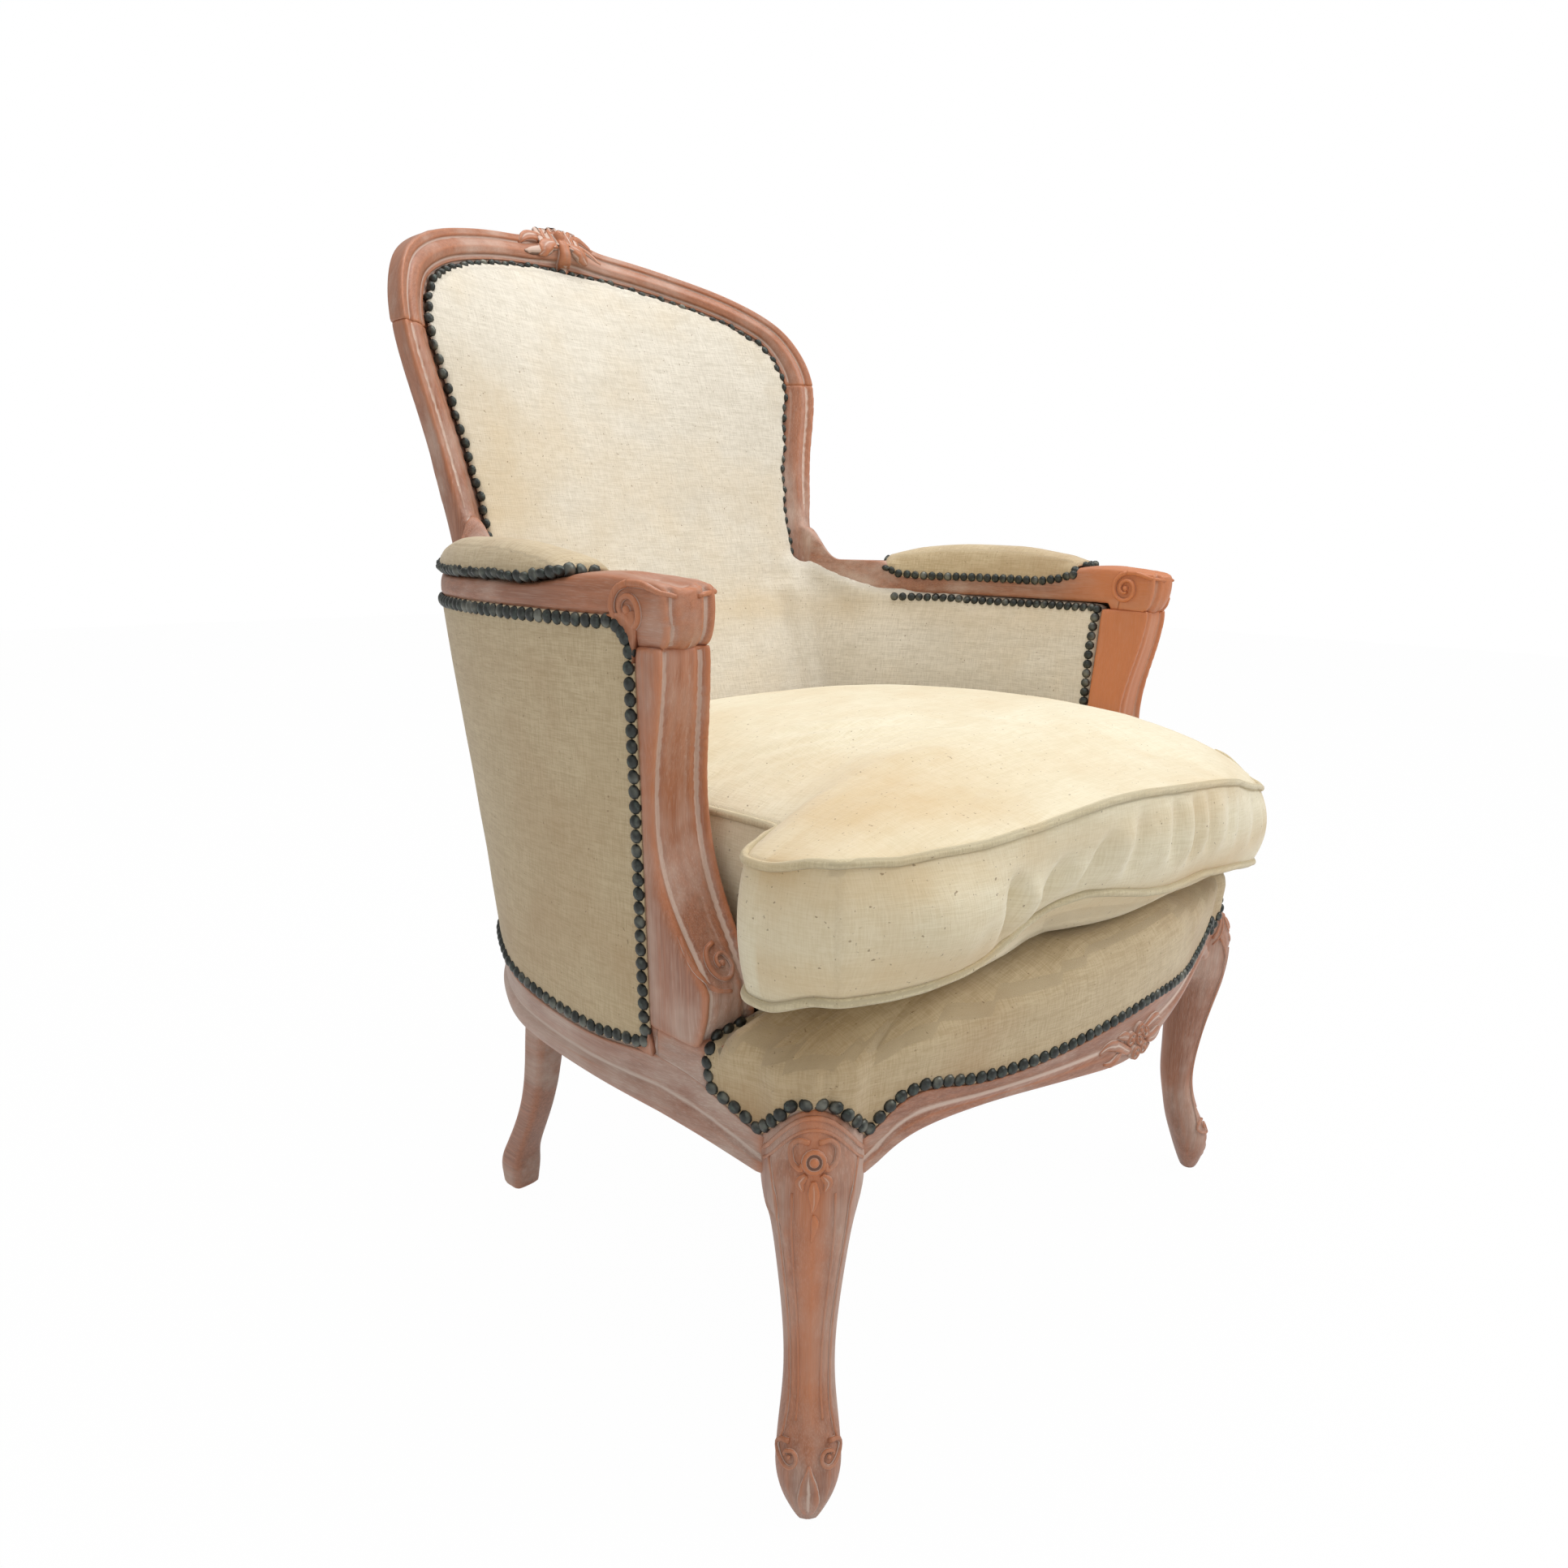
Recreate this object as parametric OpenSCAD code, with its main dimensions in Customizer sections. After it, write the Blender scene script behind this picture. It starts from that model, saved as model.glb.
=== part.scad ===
// Closed-arm upholstered armchair with a moulded beech frame, nailed covers and a loose T cushion.
// X is across the seat, the front faces -Y, and Z = 0 is the floor.

/* [Seat frame] */
// Half width over the side rails at their widest
seat_half_w = 346; // [330:1:360]
// Rear joint of the side rails behind the origin
side_rear_y = 109; // [104:1:112]
// Bow of the front rail in front of the front leg joints
front_bow = 58; // [45:1:66]
// Underside of the flat inner part of the rails
rail_z = 292; // [286:1:298]
// Top of the rail timbers
rail_top_z = 350; // [346:1:358]
// Thickness of the rail timbers
rail_t = 30; // [26:1:34]
// Thickness of the moulded outer part of the rails, which hangs lower than the rest
rail_ledge = 14; // [11:1:17]
// Most that the moulded part hangs below the flat inner part
rail_drop = 30; // [22:1:34]
// Height of the moulded band of the rails up to the nail line
band_h = 38; // [32:1:42]

/* [Front legs] */
// Front leg axes inside the seat's half width
leg_in = 48; // [44:1:52]
// Front leg axes in front of the origin
leg_y = 318; // [312:1:324]
// Half width of the leg block between its two rail joints
leg_block_half = 36; // [34:1:40]
// Half width of the ankle
ankle_half = 19; // [16:1:22]
// Height of the leg below its rail joints
knee_z = 252; // [244:1:258]
// Knee in front of the leg axis on the corner diagonal
knee_out = 33; // [28:1:38]

/* [Rear posts] */
// Half distance over the centres of the rear feet
rear_foot_x = 238; // [230:1:246]
// Rear feet behind the origin
rear_foot_y = 173; // [165:1:181]
// Thickness of the rear leg at the ankle
rear_ankle_w = 29; // [26:1:33]
// Width of the rear post at rail height
post_w = 38; // [35:1:41]

/* [Back frame] */
// Half width over the shoulders of the back
back_half_w = 264; // [258:1:272]
// Height of the crest rail's top edge in the middle
crest_z = 996; // [960:1:1030]
// Front face of the back at the sides, at arm height, behind the origin
back_y0 = 176; // [172:1:182]
// Backward lean of the back for its height
back_rake = 0.24; // [0.2:0.01:0.28]
// Depth of the hollow of the back
back_bow = 102; // [88:1:112]
// Visible width of the moulded frame
frame_w = 30; // [27:1:33]
// Relief of the frame's moulding
frame_depth = 5; // [3:0.5:6]
// Rebate for the covers inside the moulding
frame_rebate = 12; // [9:1:15]
// Thickness of the back frame
frame_t = 30; // [27:1:34]
// Half width of the carved flower on the crest
flower_half = 48; // [40:1:60]
// Rise of the carved flower over the crest
flower_h = 16; // [10:1:22]

/* [Arms] */
// Half width over the arm rails at their widest
arm_half_w = 352; // [344:1:362]
// Front of the arm ends in front of the side covers
arm_reach = 26; // [20:1:32]
// Underside of the arm rails
arm_z = 618; // [612:1:626]
// Height of the arm rails
arm_h = 37; // [34:1:41]
// Width of the arm rails
arm_w = 47; // [44:1:50]
// Drop of the arm ends below the arm rails, down to the seam with their posts
seam_drop = 7; // [4:1:10]
// Front of the arm posts at their waist, in front of the side covers
waist_reach = 5; // [2:1:10]
// Front of the arm posts at their scrolled foot, in front of the side covers
scroll_reach = 60; // [50:1:62]

/* [Upholstery] */
// Thickness of the nailed outer covers
cover_t = 2.4; // [1.6:0.1:2.6]
// Height of the arm pads over their rails
pad_h = 27; // [20:1:34]
// Thickness of the inner arm padding behind its belly
arm_pad_t = 22; // [18:1:26]
// Thickness of the back padding at its middle
back_pad_t = 34; // [28:1:40]
// Height of the stuffed deck over the rails
deck_h = 38; // [32:1:44]

/* [Cushion] */
// Front edge of the cushion in front of the origin
cushion_front = 412; // [396:1:416]
// Rear edge of the cushion behind the origin
cushion_rear = 156; // [140:1:158]
// Gap between the cushion and the arm padding where the padding swells most
cushion_gap = 23; // [21:1:33]
// Cushion's front wings inside the seat's half width
wing_in = 44; // [40:1:52]
// Height of the boxing between the pipings
boxing_h = 92; // [80:1:104]
// Crown of the cushion over its top piping
cushion_crown = 48; // [30:1:60]
// Droop of the cushion's front corner on the +X side
corner_droop = 34; // [0:1:36]
// Radius of the piping cord
piping_r = 4; // [3:0.5:5]

/* [Seat inside] */
// Width of the jute webbing
web_w = 52; // [44:1:58]
// Thickness of the jute webbing and the hessian
web_t = 1.5; // [1:0.1:2]
// Wire radius of the springs
wire_r = 2; // [1.5:0.1:2.5]
// Outer radius of the spring coils
spring_r = 26; // [22:1:30]
// Turns of each spring
spring_turns = 4; // [3:1:5]
// Radius of the dowels in the frame's joints
dowel_r = 4; // [3:0.5:5]
// Length of the dowels
dowel_l = 36; // [30:1:40]
// Shank radius of the block screws
screw_r = 2; // [1.5:0.1:2.5]
// Length of the block screws
screw_l = 36; // [32:1:42]

/* [Hidden] */

// Clearances and small edges
glue_gap = 0.3;
shadow = 0.4;
lap = cover_t + glue_gap;
bead = 3;
soft_edge = 2;

// Colours
wood = [0.69, 0.48, 0.38];
raw_wood = [0.8, 0.66, 0.48];
linen = [0.9, 0.86, 0.76];
dark_linen = [0.76, 0.68, 0.53];
jute = [0.62, 0.5, 0.34];
cotton = [0.2, 0.19, 0.18];
steel = [0.45, 0.45, 0.47];

// Curve helpers
function mix(a, b, t) = a * (1 - t) + b * t;
function clamp(t) = min(1, max(0, t));
function ease(t) = let (c = clamp(t)) c * c * (3 - 2 * c);
function spline(p, t) = let (
    n = len(p) - 1, s = clamp(t) * n, i = min(floor(s), n - 1), f = s - i,
    a = i > 0 ? p[i - 1] : 2 * p[0] - p[1], b = p[i], c = p[i + 1],
    d = i < n - 1 ? p[i + 2] : 2 * p[n] - p[n - 1])
    (2 * b + (c - a) * f + (2 * a - 5 * b + 4 * c - d) * f * f + (3 * b - a - 3 * c + d) * f * f * f) / 2;
function unit(v) = v / norm(v);
step_share = 0.004;
function along(p, t) = unit(spline(p, min(1, t + step_share)) - spline(p, max(0, t - step_share)));
function right_of(v) = [v[1], -v[0]];
function plan_of(p) = [p[0], p[1]];
function at_z(v, z) = [v[0], v[1], z];
function flipped(p) = [for (i = [0:len(p) - 1]) i == 0 ? -p[i] : p[i]];
// Values up to the middle and back again
function there_and_back(h) = concat(h, [for (i = [len(h) - 2:-1:0]) h[i]]);
// Points up to the middle, then their mirror images
function whole(h) = concat(h, [for (i = [len(h) - 2:-1:0]) flipped(h[i])]);
// Closed outline from a half that starts and ends on the centre plane
function both_halves(h) = concat(h, [for (i = [len(h) - 2:-1:1]) flipped(h[i])]);
// Rings of the other half, for a half whose last ring is in the centre plane
function other_half(rings) = [for (i = [len(rings) - 2:-1:0]) [for (p = rings[i]) flipped(p)]];
// The same rings, run the other way round
function turned(rings) = [for (r = rings) [for (i = [len(r) - 1:-1:0]) r[i]]];

// Sides between rings of n points, from point number k on
function ring_sides(n, m, k) = [for (j = [0:m - 2], i = [0:n - 1])
    let (a = k + j * n + i, b = k + j * n + (i + 1) % n) each [[a, a + n, b + n], [a, b + n, b]]];

// Solid through rings of points with the same count, closed by flat ends. Seen from its last
// end, the points of a ring run anticlockwise.
module skin(rings) {
    n = len(rings[0]);
    m = len(rings);
    polyhedron(points = [for (r = rings) each r],
        faces = concat([[for (i = [0:n - 1]) i]], ring_sides(n, m, 0),
            [[for (i = [n - 1:-1:0]) (m - 1) * n + i]]));
}

// Solid through closed rings, closed by a single point at each end
module capped_skin(low, rings, high) {
    n = len(rings[0]);
    m = len(rings);
    last = m * n + 1;
    polyhedron(points = concat([low], [for (r = rings) each r], [high]),
        faces = concat([for (i = [0:n - 1]) [0, 1 + i, 1 + (i + 1) % n]], ring_sides(n, m, 1),
            [for (i = [0:n - 1]) [last, last - n + (i + 1) % n, last - n + i]]));
}

// Left piece from the right one
module left() {
    mirror([1, 0, 0]) children();
}

// Place on a front leg: s runs along the chair's corner face, u outward on the diagonal
diagonal = sqrt(1 / 2);
joint_u = -bead;
leg_x = seat_half_w - leg_in;
function leg_at(s, u, z) = [leg_x + (s + u) * diagonal, (s - u) * diagonal - leg_y, z];
function leg_s(p) = (p[0] - leg_x + p[1] + leg_y) * diagonal;
// Point p moved along direction t to the leg's joint face at s
function to_leg(p, t, s) = let (k = (s - leg_s(p)) / ((t[0] + t[1]) * diagonal))
    [p[0] + t[0] * k, p[1] + t[1] * k, p[2]];
// Point p moved along direction t to a given y
function to_y(p, t, y) = let (k = (y - p[1]) / t[1]) [p[0] + t[0] * k, y, p[2]];

// Side plan: outer face of the side rails from leg joint to rear post, as shares of the
// seat's half width and of the rail's length
side_shares = [[0.977, 0.176], [1, 0.402], [0.986, 0.653], [0.931, 0.803], [0.853, 0.908]];
side_joint = plan_of(leg_at(leg_block_half, joint_u, 0));
post_outer = 250;
side_plan = concat([side_joint],
    [for (s = side_shares) [s[0] * seat_half_w, mix(side_joint[1], side_rear_y, s[1])]],
    [[post_outer + soft_edge, side_rear_y]]);
function side_in(s, o) = spline(side_plan, s) - right_of(along(side_plan, s)) * o;

// Front edge of the side covers, and the places of the arm fronts before the origin
wall_side_share = 0.21;
covers_y = -spline(side_plan, wall_side_share)[1];
arm_front_y = covers_y + arm_reach;
waist_y = covers_y + waist_reach;
scroll_y = covers_y + scroll_reach;

// Arm plan: outer face of the arm rails from arm front to rear post
back_reach = 12;
arm_shares = [[0.977, 0], [1, 0.228], [1, 0.422], [0.966, 0.641], [0.884, 0.811]];
arm_plan = concat([for (s = arm_shares) [s[0] * arm_half_w, mix(-arm_front_y, back_y0 + back_reach, s[1])]],
    [[post_outer + soft_edge, back_y0 + back_reach]]);

// Stations shared by the side rails, arm rails and what is stretched between them
wall_arm_share = 0.052;
wall_steps = 16;
function side_share(j) = mix(wall_side_share, 1, j / wall_steps);
function arm_share(j) = mix(wall_arm_share, 1, j / wall_steps);
function wall_share(z) = clamp((z - rail_top_z) / (arm_z - rail_top_z));
// Point of the side wall at station j and height z, moved outward by o
function wall_at(j, z, o) = let (f = wall_share(z),
    n = unit(mix(right_of(along(side_plan, side_share(j))), right_of(along(arm_plan, arm_share(j))), f)),
    p = mix(spline(side_plan, side_share(j)), spline(arm_plan, arm_share(j)), f))
    at_z(p + n * o, z);

// Front plan: outer face of the front rail from the +X leg joint, as shares of the joint's x
// and of the bow; places are given by v, from 0 at the joint to 1 in the middle
front_joint = leg_at(-leg_block_half, joint_u, 0);
front_shares = [[1, 0], [0.87, 0.22], [0.63, 0.52], [0.33, 0.86], [0, 1]];
front_plan = whole([for (s = front_shares) [s[0] * front_joint[0], front_joint[1] - s[1] * front_bow]]);
function front_in(v, o) = spline(front_plan, v / 2) + right_of(along(front_plan, v / 2)) * o;

// Front face of the hollow back, leaning and bowed
bow_span = 270;
bow_power = 1.81;
bow_growth_share = 0.11;
bow_z = 800;
lean_z = 650;
function back_y(x, z) = back_y0 + back_rake * (z - lean_z)
    + (back_bow + bow_growth_share * (z - bow_z)) * (1 - pow(min(1, abs(x) / bow_span), bow_power));

// Outer edge of the back frame from arm height to the middle of the crest, as shares of its
// half width and height; places are given by v, from 0 at arm height to 1 in the middle
frame_z = 640;
frame_shares = [[0.902, 0], [0.905, 0.14], [0.92, 0.267], [0.947, 0.393], [0.985, 0.52], [1, 0.618],
    [0.977, 0.716], [0.902, 0.812], [0.758, 0.885], [0.568, 0.938], [0.303, 0.982], [0, 1]];
frame_plan = whole([for (s = frame_shares) [s[0] * back_half_w, mix(frame_z, crest_z, s[1])]]);
// Point in the plane of the frame at v, a inward from its edge
function frame_inner(v, a) = spline(frame_plan, v / 2) - right_of(along(frame_plan, v / 2)) * a;
// The same point on the back, b behind its face
function frame_at(v, a, b) = let (p = frame_inner(v, a)) [p[0], back_y(p[0], p[1]) + b, p[1]];

// Moulded section of the back frame: bead, groove, broad round and fillet, as shares of its
// visible width and relief
moulding_shares = [[0, 0.6], [0.05, 0], [0.23, -0.2], [0.3, 0.4], [0.4, -0.4], [0.6, -1], [0.8, -0.6],
    [0.87, 0.1], [1, 0]];
frame_back = [[frame_w + shadow, lap], [frame_w + frame_rebate, lap], [frame_w + frame_rebate, frame_t],
    [bead, frame_t]];
frame_section = concat([[0, frame_t - bead]],
    [for (s = moulding_shares) [s[0] * frame_w, s[1] * frame_depth]], frame_back);
// Plain section of the lower post with the same number of points
post_face_shares = [0.25, 0.35, 0.5, 0.65, 0.75, 0.88];
post_section = concat([[0, frame_t - bead], [0, bead], [bead / 3, bead / 3], [bead, 0]],
    [for (s = post_face_shares) [post_w * s, 0]],
    [[post_w - bead / 3, 0], [post_w, bead / 3], [post_w, frame_t], [bead, frame_t]]);

// Crest rail with its carved flower; its joints with the posts are above the shoulders
crest_joint_share = 0.46;
flower_share = 0.86;
crest_steps = 15;
flower_steps = 8;
function crest_share(i) = i < crest_steps ? mix(crest_joint_share, flower_share, i / crest_steps)
    : mix(flower_share, 1, (i - crest_steps) / flower_steps);
// Rise of the carving over the crest: petals of a flower between two leaves
petal_share = 0.2;
petal_turn = 900;
function petals(x) = let (r = min(1, abs(x) / flower_half))
    (1 - r * r) * (1 - petal_share + petal_share * cos(r * petal_turn));
petal_relief_share = 0.6;
function crest_ring(v) = let (k = petals(spline(frame_plan, v / 2)[0]) * flower_h)
    [for (s = frame_section) let (f = clamp(1 - s[0] / frame_w))
        frame_at(v, s[0] - k * f, s[1] - (s[1] < bead ? k * sin(f * 180) * petal_relief_share : 0))];
module crest_rail() {
    half = [for (i = [0:crest_steps + flower_steps]) crest_ring(crest_share(i))];
    cut = unit(half[1][0] - half[0][0]) * glue_gap;
    right = concat([[for (p = half[0]) p + cut]], [for (i = [1:len(half) - 1]) half[i]]);
    color(wood) skin(turned(concat(right, other_half(right))));
}

// Rear post: foot, raked leg, plain post between the panels and moulded stile.
// Leg rows hold height, slope from foot to post, width and depth as shares.
leg_shares = [[0, 0, 1.02, 1], [0.04, 0, 1.08, 1.1], [0.1, 0.02, 1.16, 1.2], [0.15, 0.06, 1.1, 1.12],
    [0.21, 0.16, 0.98, 1], [0.32, 0.4, 0.93, 0.96], [0.45, 0.64, 0.95, 0.98], [0.6, 0.82, 1.03, 1.04],
    [0.78, 0.94, 1.14, 1.1]];
leg_steps = 13;
post_x = post_outer - post_w / 2;
function post_edge(z) = z > frame_z ? frame_plan[0][0]
    : mix(post_outer, frame_plan[0][0], ease((z - rail_top_z) / (frame_z - rail_top_z)));
function post_inner(z) = post_edge(z) - post_w;
function post_front(z) = back_y(post_x, z);
foot_shares = [[-1, 0.7], [-1, -0.6], [-0.9, -0.85], [-0.7, -1], [-0.4, -1.02], [-0.15, -1.03], [0.1, -1.03],
    [0.35, -1.02], [0.6, -1], [0.8, -0.93], [0.95, -0.75], [1, -0.5], [1, 0.75], [-0.75, 1]];
function leg_ring(r) = let (cx = mix(rear_foot_x, post_x, r[1]),
    cy = mix(rear_foot_y, post_front(rail_z) + frame_t / 2, r[1]))
    [for (s = foot_shares)
        [cx - s[0] * r[2] * rear_ankle_w / 2, cy + s[1] * r[3] * rear_ankle_w / 2, r[0] * knee_z]];
function post_ring(z) = [for (s = post_section) [post_edge(z) - s[0], post_front(z) + s[1], z]];
post_steps = 6;
stile_steps = 11;
// Height over which the plain post turns into the moulded stile
stile_blend = 60;
post_top_z = frame_z - stile_blend;
// Half width of the bay between the posts
function bay_half(z) =
    post_inner(z) - (frame_w + frame_rebate - post_w) * clamp((z - post_top_z) / stile_blend);
module rear_post() {
    rings = concat([for (i = [0:leg_steps]) leg_ring(spline(leg_shares, i / leg_steps))],
        [post_ring(knee_z)], [for (i = [0:post_steps]) post_ring(mix(rail_z, post_top_z, i / post_steps))],
        [for (i = [0:stile_steps]) let (v = crest_joint_share * i / stile_steps)
            [for (s = frame_section) frame_at(v, s[0], s[1])]]);
    color(wood) skin(turned(rings));
}

// Front leg: toe, scroll, ankle and knee, then the block between the rails.
// Rows hold height, half width, centre and half depth as shares of the knee height and ankle.
cabriole_shares = [[0, 0.5, 1.05, 0.42], [0.02, 0.66, 1.03, 0.54], [0.075, 1.05, 0.95, 0.76],
    [0.147, 1.29, 0.84, 1], [0.206, 1.27, 0.66, 1.1], [0.27, 1.18, 0.29, 0.98],
    [0.37, 1.03, -0.1, 0.86], [0.468, 1, -0.32, 0.9], [0.595, 1.08, -0.29, 0.98], [0.742, 1.26, -0.16, 1.18],
    [0.881, 1.46, 0, 1.48], [0.95, 1.62, 0, 1.66]];
cabriole_steps = 17;
round_shares = [[0, 1], [0.28, 0.9], [0.62, 0.82], [0.9, 0.45], [1, 0], [0.93, -0.45], [0.65, -0.82],
    [0.3, -0.96], [0, -1], [-0.3, -0.96], [-0.65, -0.82], [-0.93, -0.45], [-1, 0], [-0.9, 0.45],
    [-0.62, 0.82], [-0.28, 0.9]];
function cabriole_ring(r) = [for (s = round_shares)
    leg_at(s[0] * r[1] * ankle_half, (r[2] + s[1] * r[3]) * ankle_half, r[0] * knee_z)];
block_back = leg_block_half;
// Half of the block's outline: across the corner and knee bulge as shares, then outward place
// and whether the row is recessed for the cover
block_rows = [[0, 1, 0, 1], [0.35, 0.93, 0, 1], [0.72, 0.66, 0, 1], [1, 0, joint_u, 1],
    [1, 0, -rail_t / 2, 0], [1, 0, bead - block_back, 0], [0.7, 0, -block_back, 0],
    [0.35, 0, -block_back, 0], [0, 0, -block_back, 0]];
function block_ring(z, k, recess, arch) = let (
    half = [for (r = block_rows) [r[0] * leg_block_half, r[1] * k + r[2] - r[3] * recess]])
    [for (p = both_halves(half)) leg_at(p[0], p[1], z - arch * pow(p[0] / leg_block_half, 2))];
// Heights of the block with knee bulge, recess for the cover and arch, up to the arched top of
// the bare wood and on to the flat top under the cover
knee_top = 14;
knee_peak_z = rail_z + band_h * 0.8;
knee_arch = knee_peak_z - rail_z;
block_levels = [[knee_z, knee_out, 0, 0], [mix(knee_z, knee_peak_z, 0.35), knee_out, 0, 0],
    [mix(knee_z, knee_peak_z, 0.65), knee_out * 0.8, 0, knee_arch * 0.4],
    [knee_peak_z, knee_top, 0, knee_arch], [knee_peak_z + glue_gap, knee_top, lap, knee_arch],
    [rail_top_z - glue_gap, knee_top, lap, 0]];
module front_leg() {
    low = [for (i = [0:cabriole_steps]) cabriole_ring(spline(cabriole_shares, i / cabriole_steps))];
    color(wood) skin(concat(low, [for (b = block_levels) block_ring(b[0], b[1], b[2], b[3])]));
}

// Moulded rail section at a plan point p with outward normal n: depth as shares of a bead and
// height as shares from the lower edge to the nail line
rail_shares = [[-0.67, 0], [0, 0.14], [0, 0.32], [-1, 0.45], [-0.5, 0.7], [0, 0.85], [0, 1]];
function rail_ring(p, n, low, nails, rebate) = [for (s = concat(
    [[-rail_t, rail_z], [-rail_ledge, rail_z], [-rail_ledge, low]],
    [for (r = rail_shares) [r[0] * bead, mix(low, nails, r[1])]],
    [[-rebate, nails + shadow], [-rebate, rail_top_z], [-rail_t, rail_top_z]])) at_z(p + n * s[0], s[1])];

// Side rail: lower edge and nail line as shares of the drop and of the band
side_low_shares = [-1, -0.4, -0.23, -0.17, -0.1, -0.1, -0.2];
side_nail_shares = [0, 0.9, 0.76, 0.92, 1.18, 1.26, 1.26];
function side_nail_z(s) = rail_z + band_h * spline(side_nail_shares, s);
// Rebate depth along the bare wood under the arm post
zone_shares = [[0.05, 1], [0.1, 1], [0.104, 0], [0.135, 0], [0.195, 0], [0.2, 1]];
function side_ring(s, rebate) = rail_ring(spline(side_plan, s), right_of(along(side_plan, s)),
    rail_z + rail_drop * spline(side_low_shares, s), side_nail_z(s), mix(shadow, lap, rebate));
module side_rail() {
    front = [for (p = side_ring(0, 1)) to_leg(p, along(side_plan, 0), leg_block_half + glue_gap)];
    rear = [for (p = side_ring(1, 1)) to_y(p, along(side_plan, 1), post_front(p[2]) - glue_gap)];
    body = [for (r = zone_shares) side_ring(r[0], r[1])];
    wall = [for (j = [0:wall_steps - 1]) side_ring(side_share(j), 1)];
    color(wood) skin(turned(concat([front], body, wall, [rear])));
}

// Front rail: serpentine lower edge that dips to the carving in the middle
front_low_shares = there_and_back([-1, -0.27, -0.13, -0.3, -0.67]);
front_nail_shares = there_and_back([-0.05, 0.63, 0.37, 0.47, 0.63]);
function front_nail_z(v) = rail_z + band_h * spline(front_nail_shares, v / 2);
front_steps = 11;
function front_ring(v) = rail_ring(spline(front_plan, v / 2), -right_of(along(front_plan, v / 2)),
    rail_z + rail_drop * spline(front_low_shares, v / 2), front_nail_z(v), lap);
// The slant of the leg joint is spread over the first rings
slant_share = 0.4;
function spread(ring, first, end, f) = [for (m = [0:len(ring) - 1]) ring[m] + (end[m] - first[m]) * f];
module front_rail() {
    first = front_ring(0);
    end = [for (p = first) to_leg(p, along(front_plan, 0), -leg_block_half - glue_gap)];
    half = [for (i = [0:front_steps]) let (v = i / front_steps)
        spread(front_ring(v), first, end, clamp(1 - v / slant_share))];
    color(wood) skin(concat(half, other_half(half)));
}

// Rear rail and lower back rail between the rear posts
rail_steps = 12;
module cross_rail(section) {
    color(wood) skin(turned([for (i = [0:rail_steps]) let (k = 2 * i / rail_steps - 1)
        [for (s = section) let (x = k * (post_inner(s[1]) - glue_gap)) [x, back_y(x, s[1]) + s[0], s[1]]]]));
}
module rear_rail() {
    cross_rail([[soft_edge, rail_z], [soft_edge, rail_top_z], [frame_t - lap, rail_top_z],
        [frame_t - lap, rail_z + band_h + shadow], [frame_t, rail_z + band_h], [frame_t, rail_z],
        [frame_t - bead, rail_z - 4 * bead], [frame_t - rail_ledge, rail_z - 4 * bead],
        [frame_t - rail_ledge, rail_z]]);
}
lower_rail_z = 400;
lower_rail_h = 42;
lower_rail_set = 6;
module back_lower_rail() {
    top = lower_rail_z + lower_rail_h;
    cross_rail([[lower_rail_set, lower_rail_z], [lower_rail_set, top], [frame_t - lower_rail_set, top],
        [frame_t - lower_rail_set, lower_rail_z]]);
}

// Arm rail: from its scrolled end over the arm post to the back, which it climbs
arm_top_z = arm_z + arm_h;
seam_z = arm_z - seam_drop;
panel_rise = 13;
panel_top_z = arm_z + panel_rise;
pad_seat = 7;
arm_climb = 45;
arm_round = 7;
arm_top_shares = [-0.4, 0.3, -1, -1, -1, -1, 0];
arm_tops = concat([for (s = arm_top_shares) arm_top_z + s * pad_seat], [arm_top_z + arm_climb]);
// Places round the rail: in from the outer face and up from its underside or down from its top
function arm_section(low, top, rebate) = [[-rebate, low], [-rebate, panel_top_z],
    [shadow - rebate, panel_top_z + shadow], [0, panel_top_z + 2 * shadow], [0, top - arm_round],
    [-arm_round * 0.3, top - arm_round * 0.35], [-arm_round, top], [-arm_w / 2, top + arm_round * 0.2],
    [arm_round - arm_w, top], [arm_round * 0.3 - arm_w, top - arm_round * 0.35], [-arm_w, top - arm_round],
    [-arm_w, low + arm_round * 0.85], [arm_round * 0.3 - arm_w, low + arm_round * 0.15],
    [arm_round * 0.6 - arm_w, low]];
function arm_ring(a, low, rebate) = let (n = right_of(along(arm_plan, a)), p = spline(arm_plan, a))
    [for (s = arm_section(low, spline(arm_tops, a), rebate)) at_z(p + n * s[0], s[1])];
nose = 7;
nose_shares = [[1, 0.45], [0.7, 0.14]];
function nose_ring(out, inset) = let (q = arm_plan[0][0] - arm_w / 2, c = mix(seam_z, arm_top_z, 0.6))
    [for (p = arm_ring(0, seam_z, shadow)) [mix(p[0], q, inset), p[1] - out, mix(p[2], c, inset)]];
seam_shares = [0.03, 0.049];
seam_end_share = 0.094;
module arm_rail() {
    nosing = [for (s = nose_shares) nose_ring(s[0] * nose, s[1])];
    over_post = concat([arm_ring(0, seam_z, shadow)], [for (s = seam_shares) arm_ring(s, seam_z, shadow)],
        [for (a = [wall_arm_share, seam_end_share - step_share]) arm_ring(a, seam_z, lap)]);
    body = concat([arm_ring(seam_end_share, arm_z, lap)],
        [for (j = [1:wall_steps - 1]) arm_ring(arm_share(j), arm_z, lap)]);
    rear = [for (p = arm_ring(1, arm_z, lap))
        [p[0], min(post_front(p[2]), back_y(p[0], p[2]) - frame_depth) - glue_gap, p[2]]];
    color(wood) skin(turned(concat(nosing, over_post, body, [rear])));
}

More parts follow.
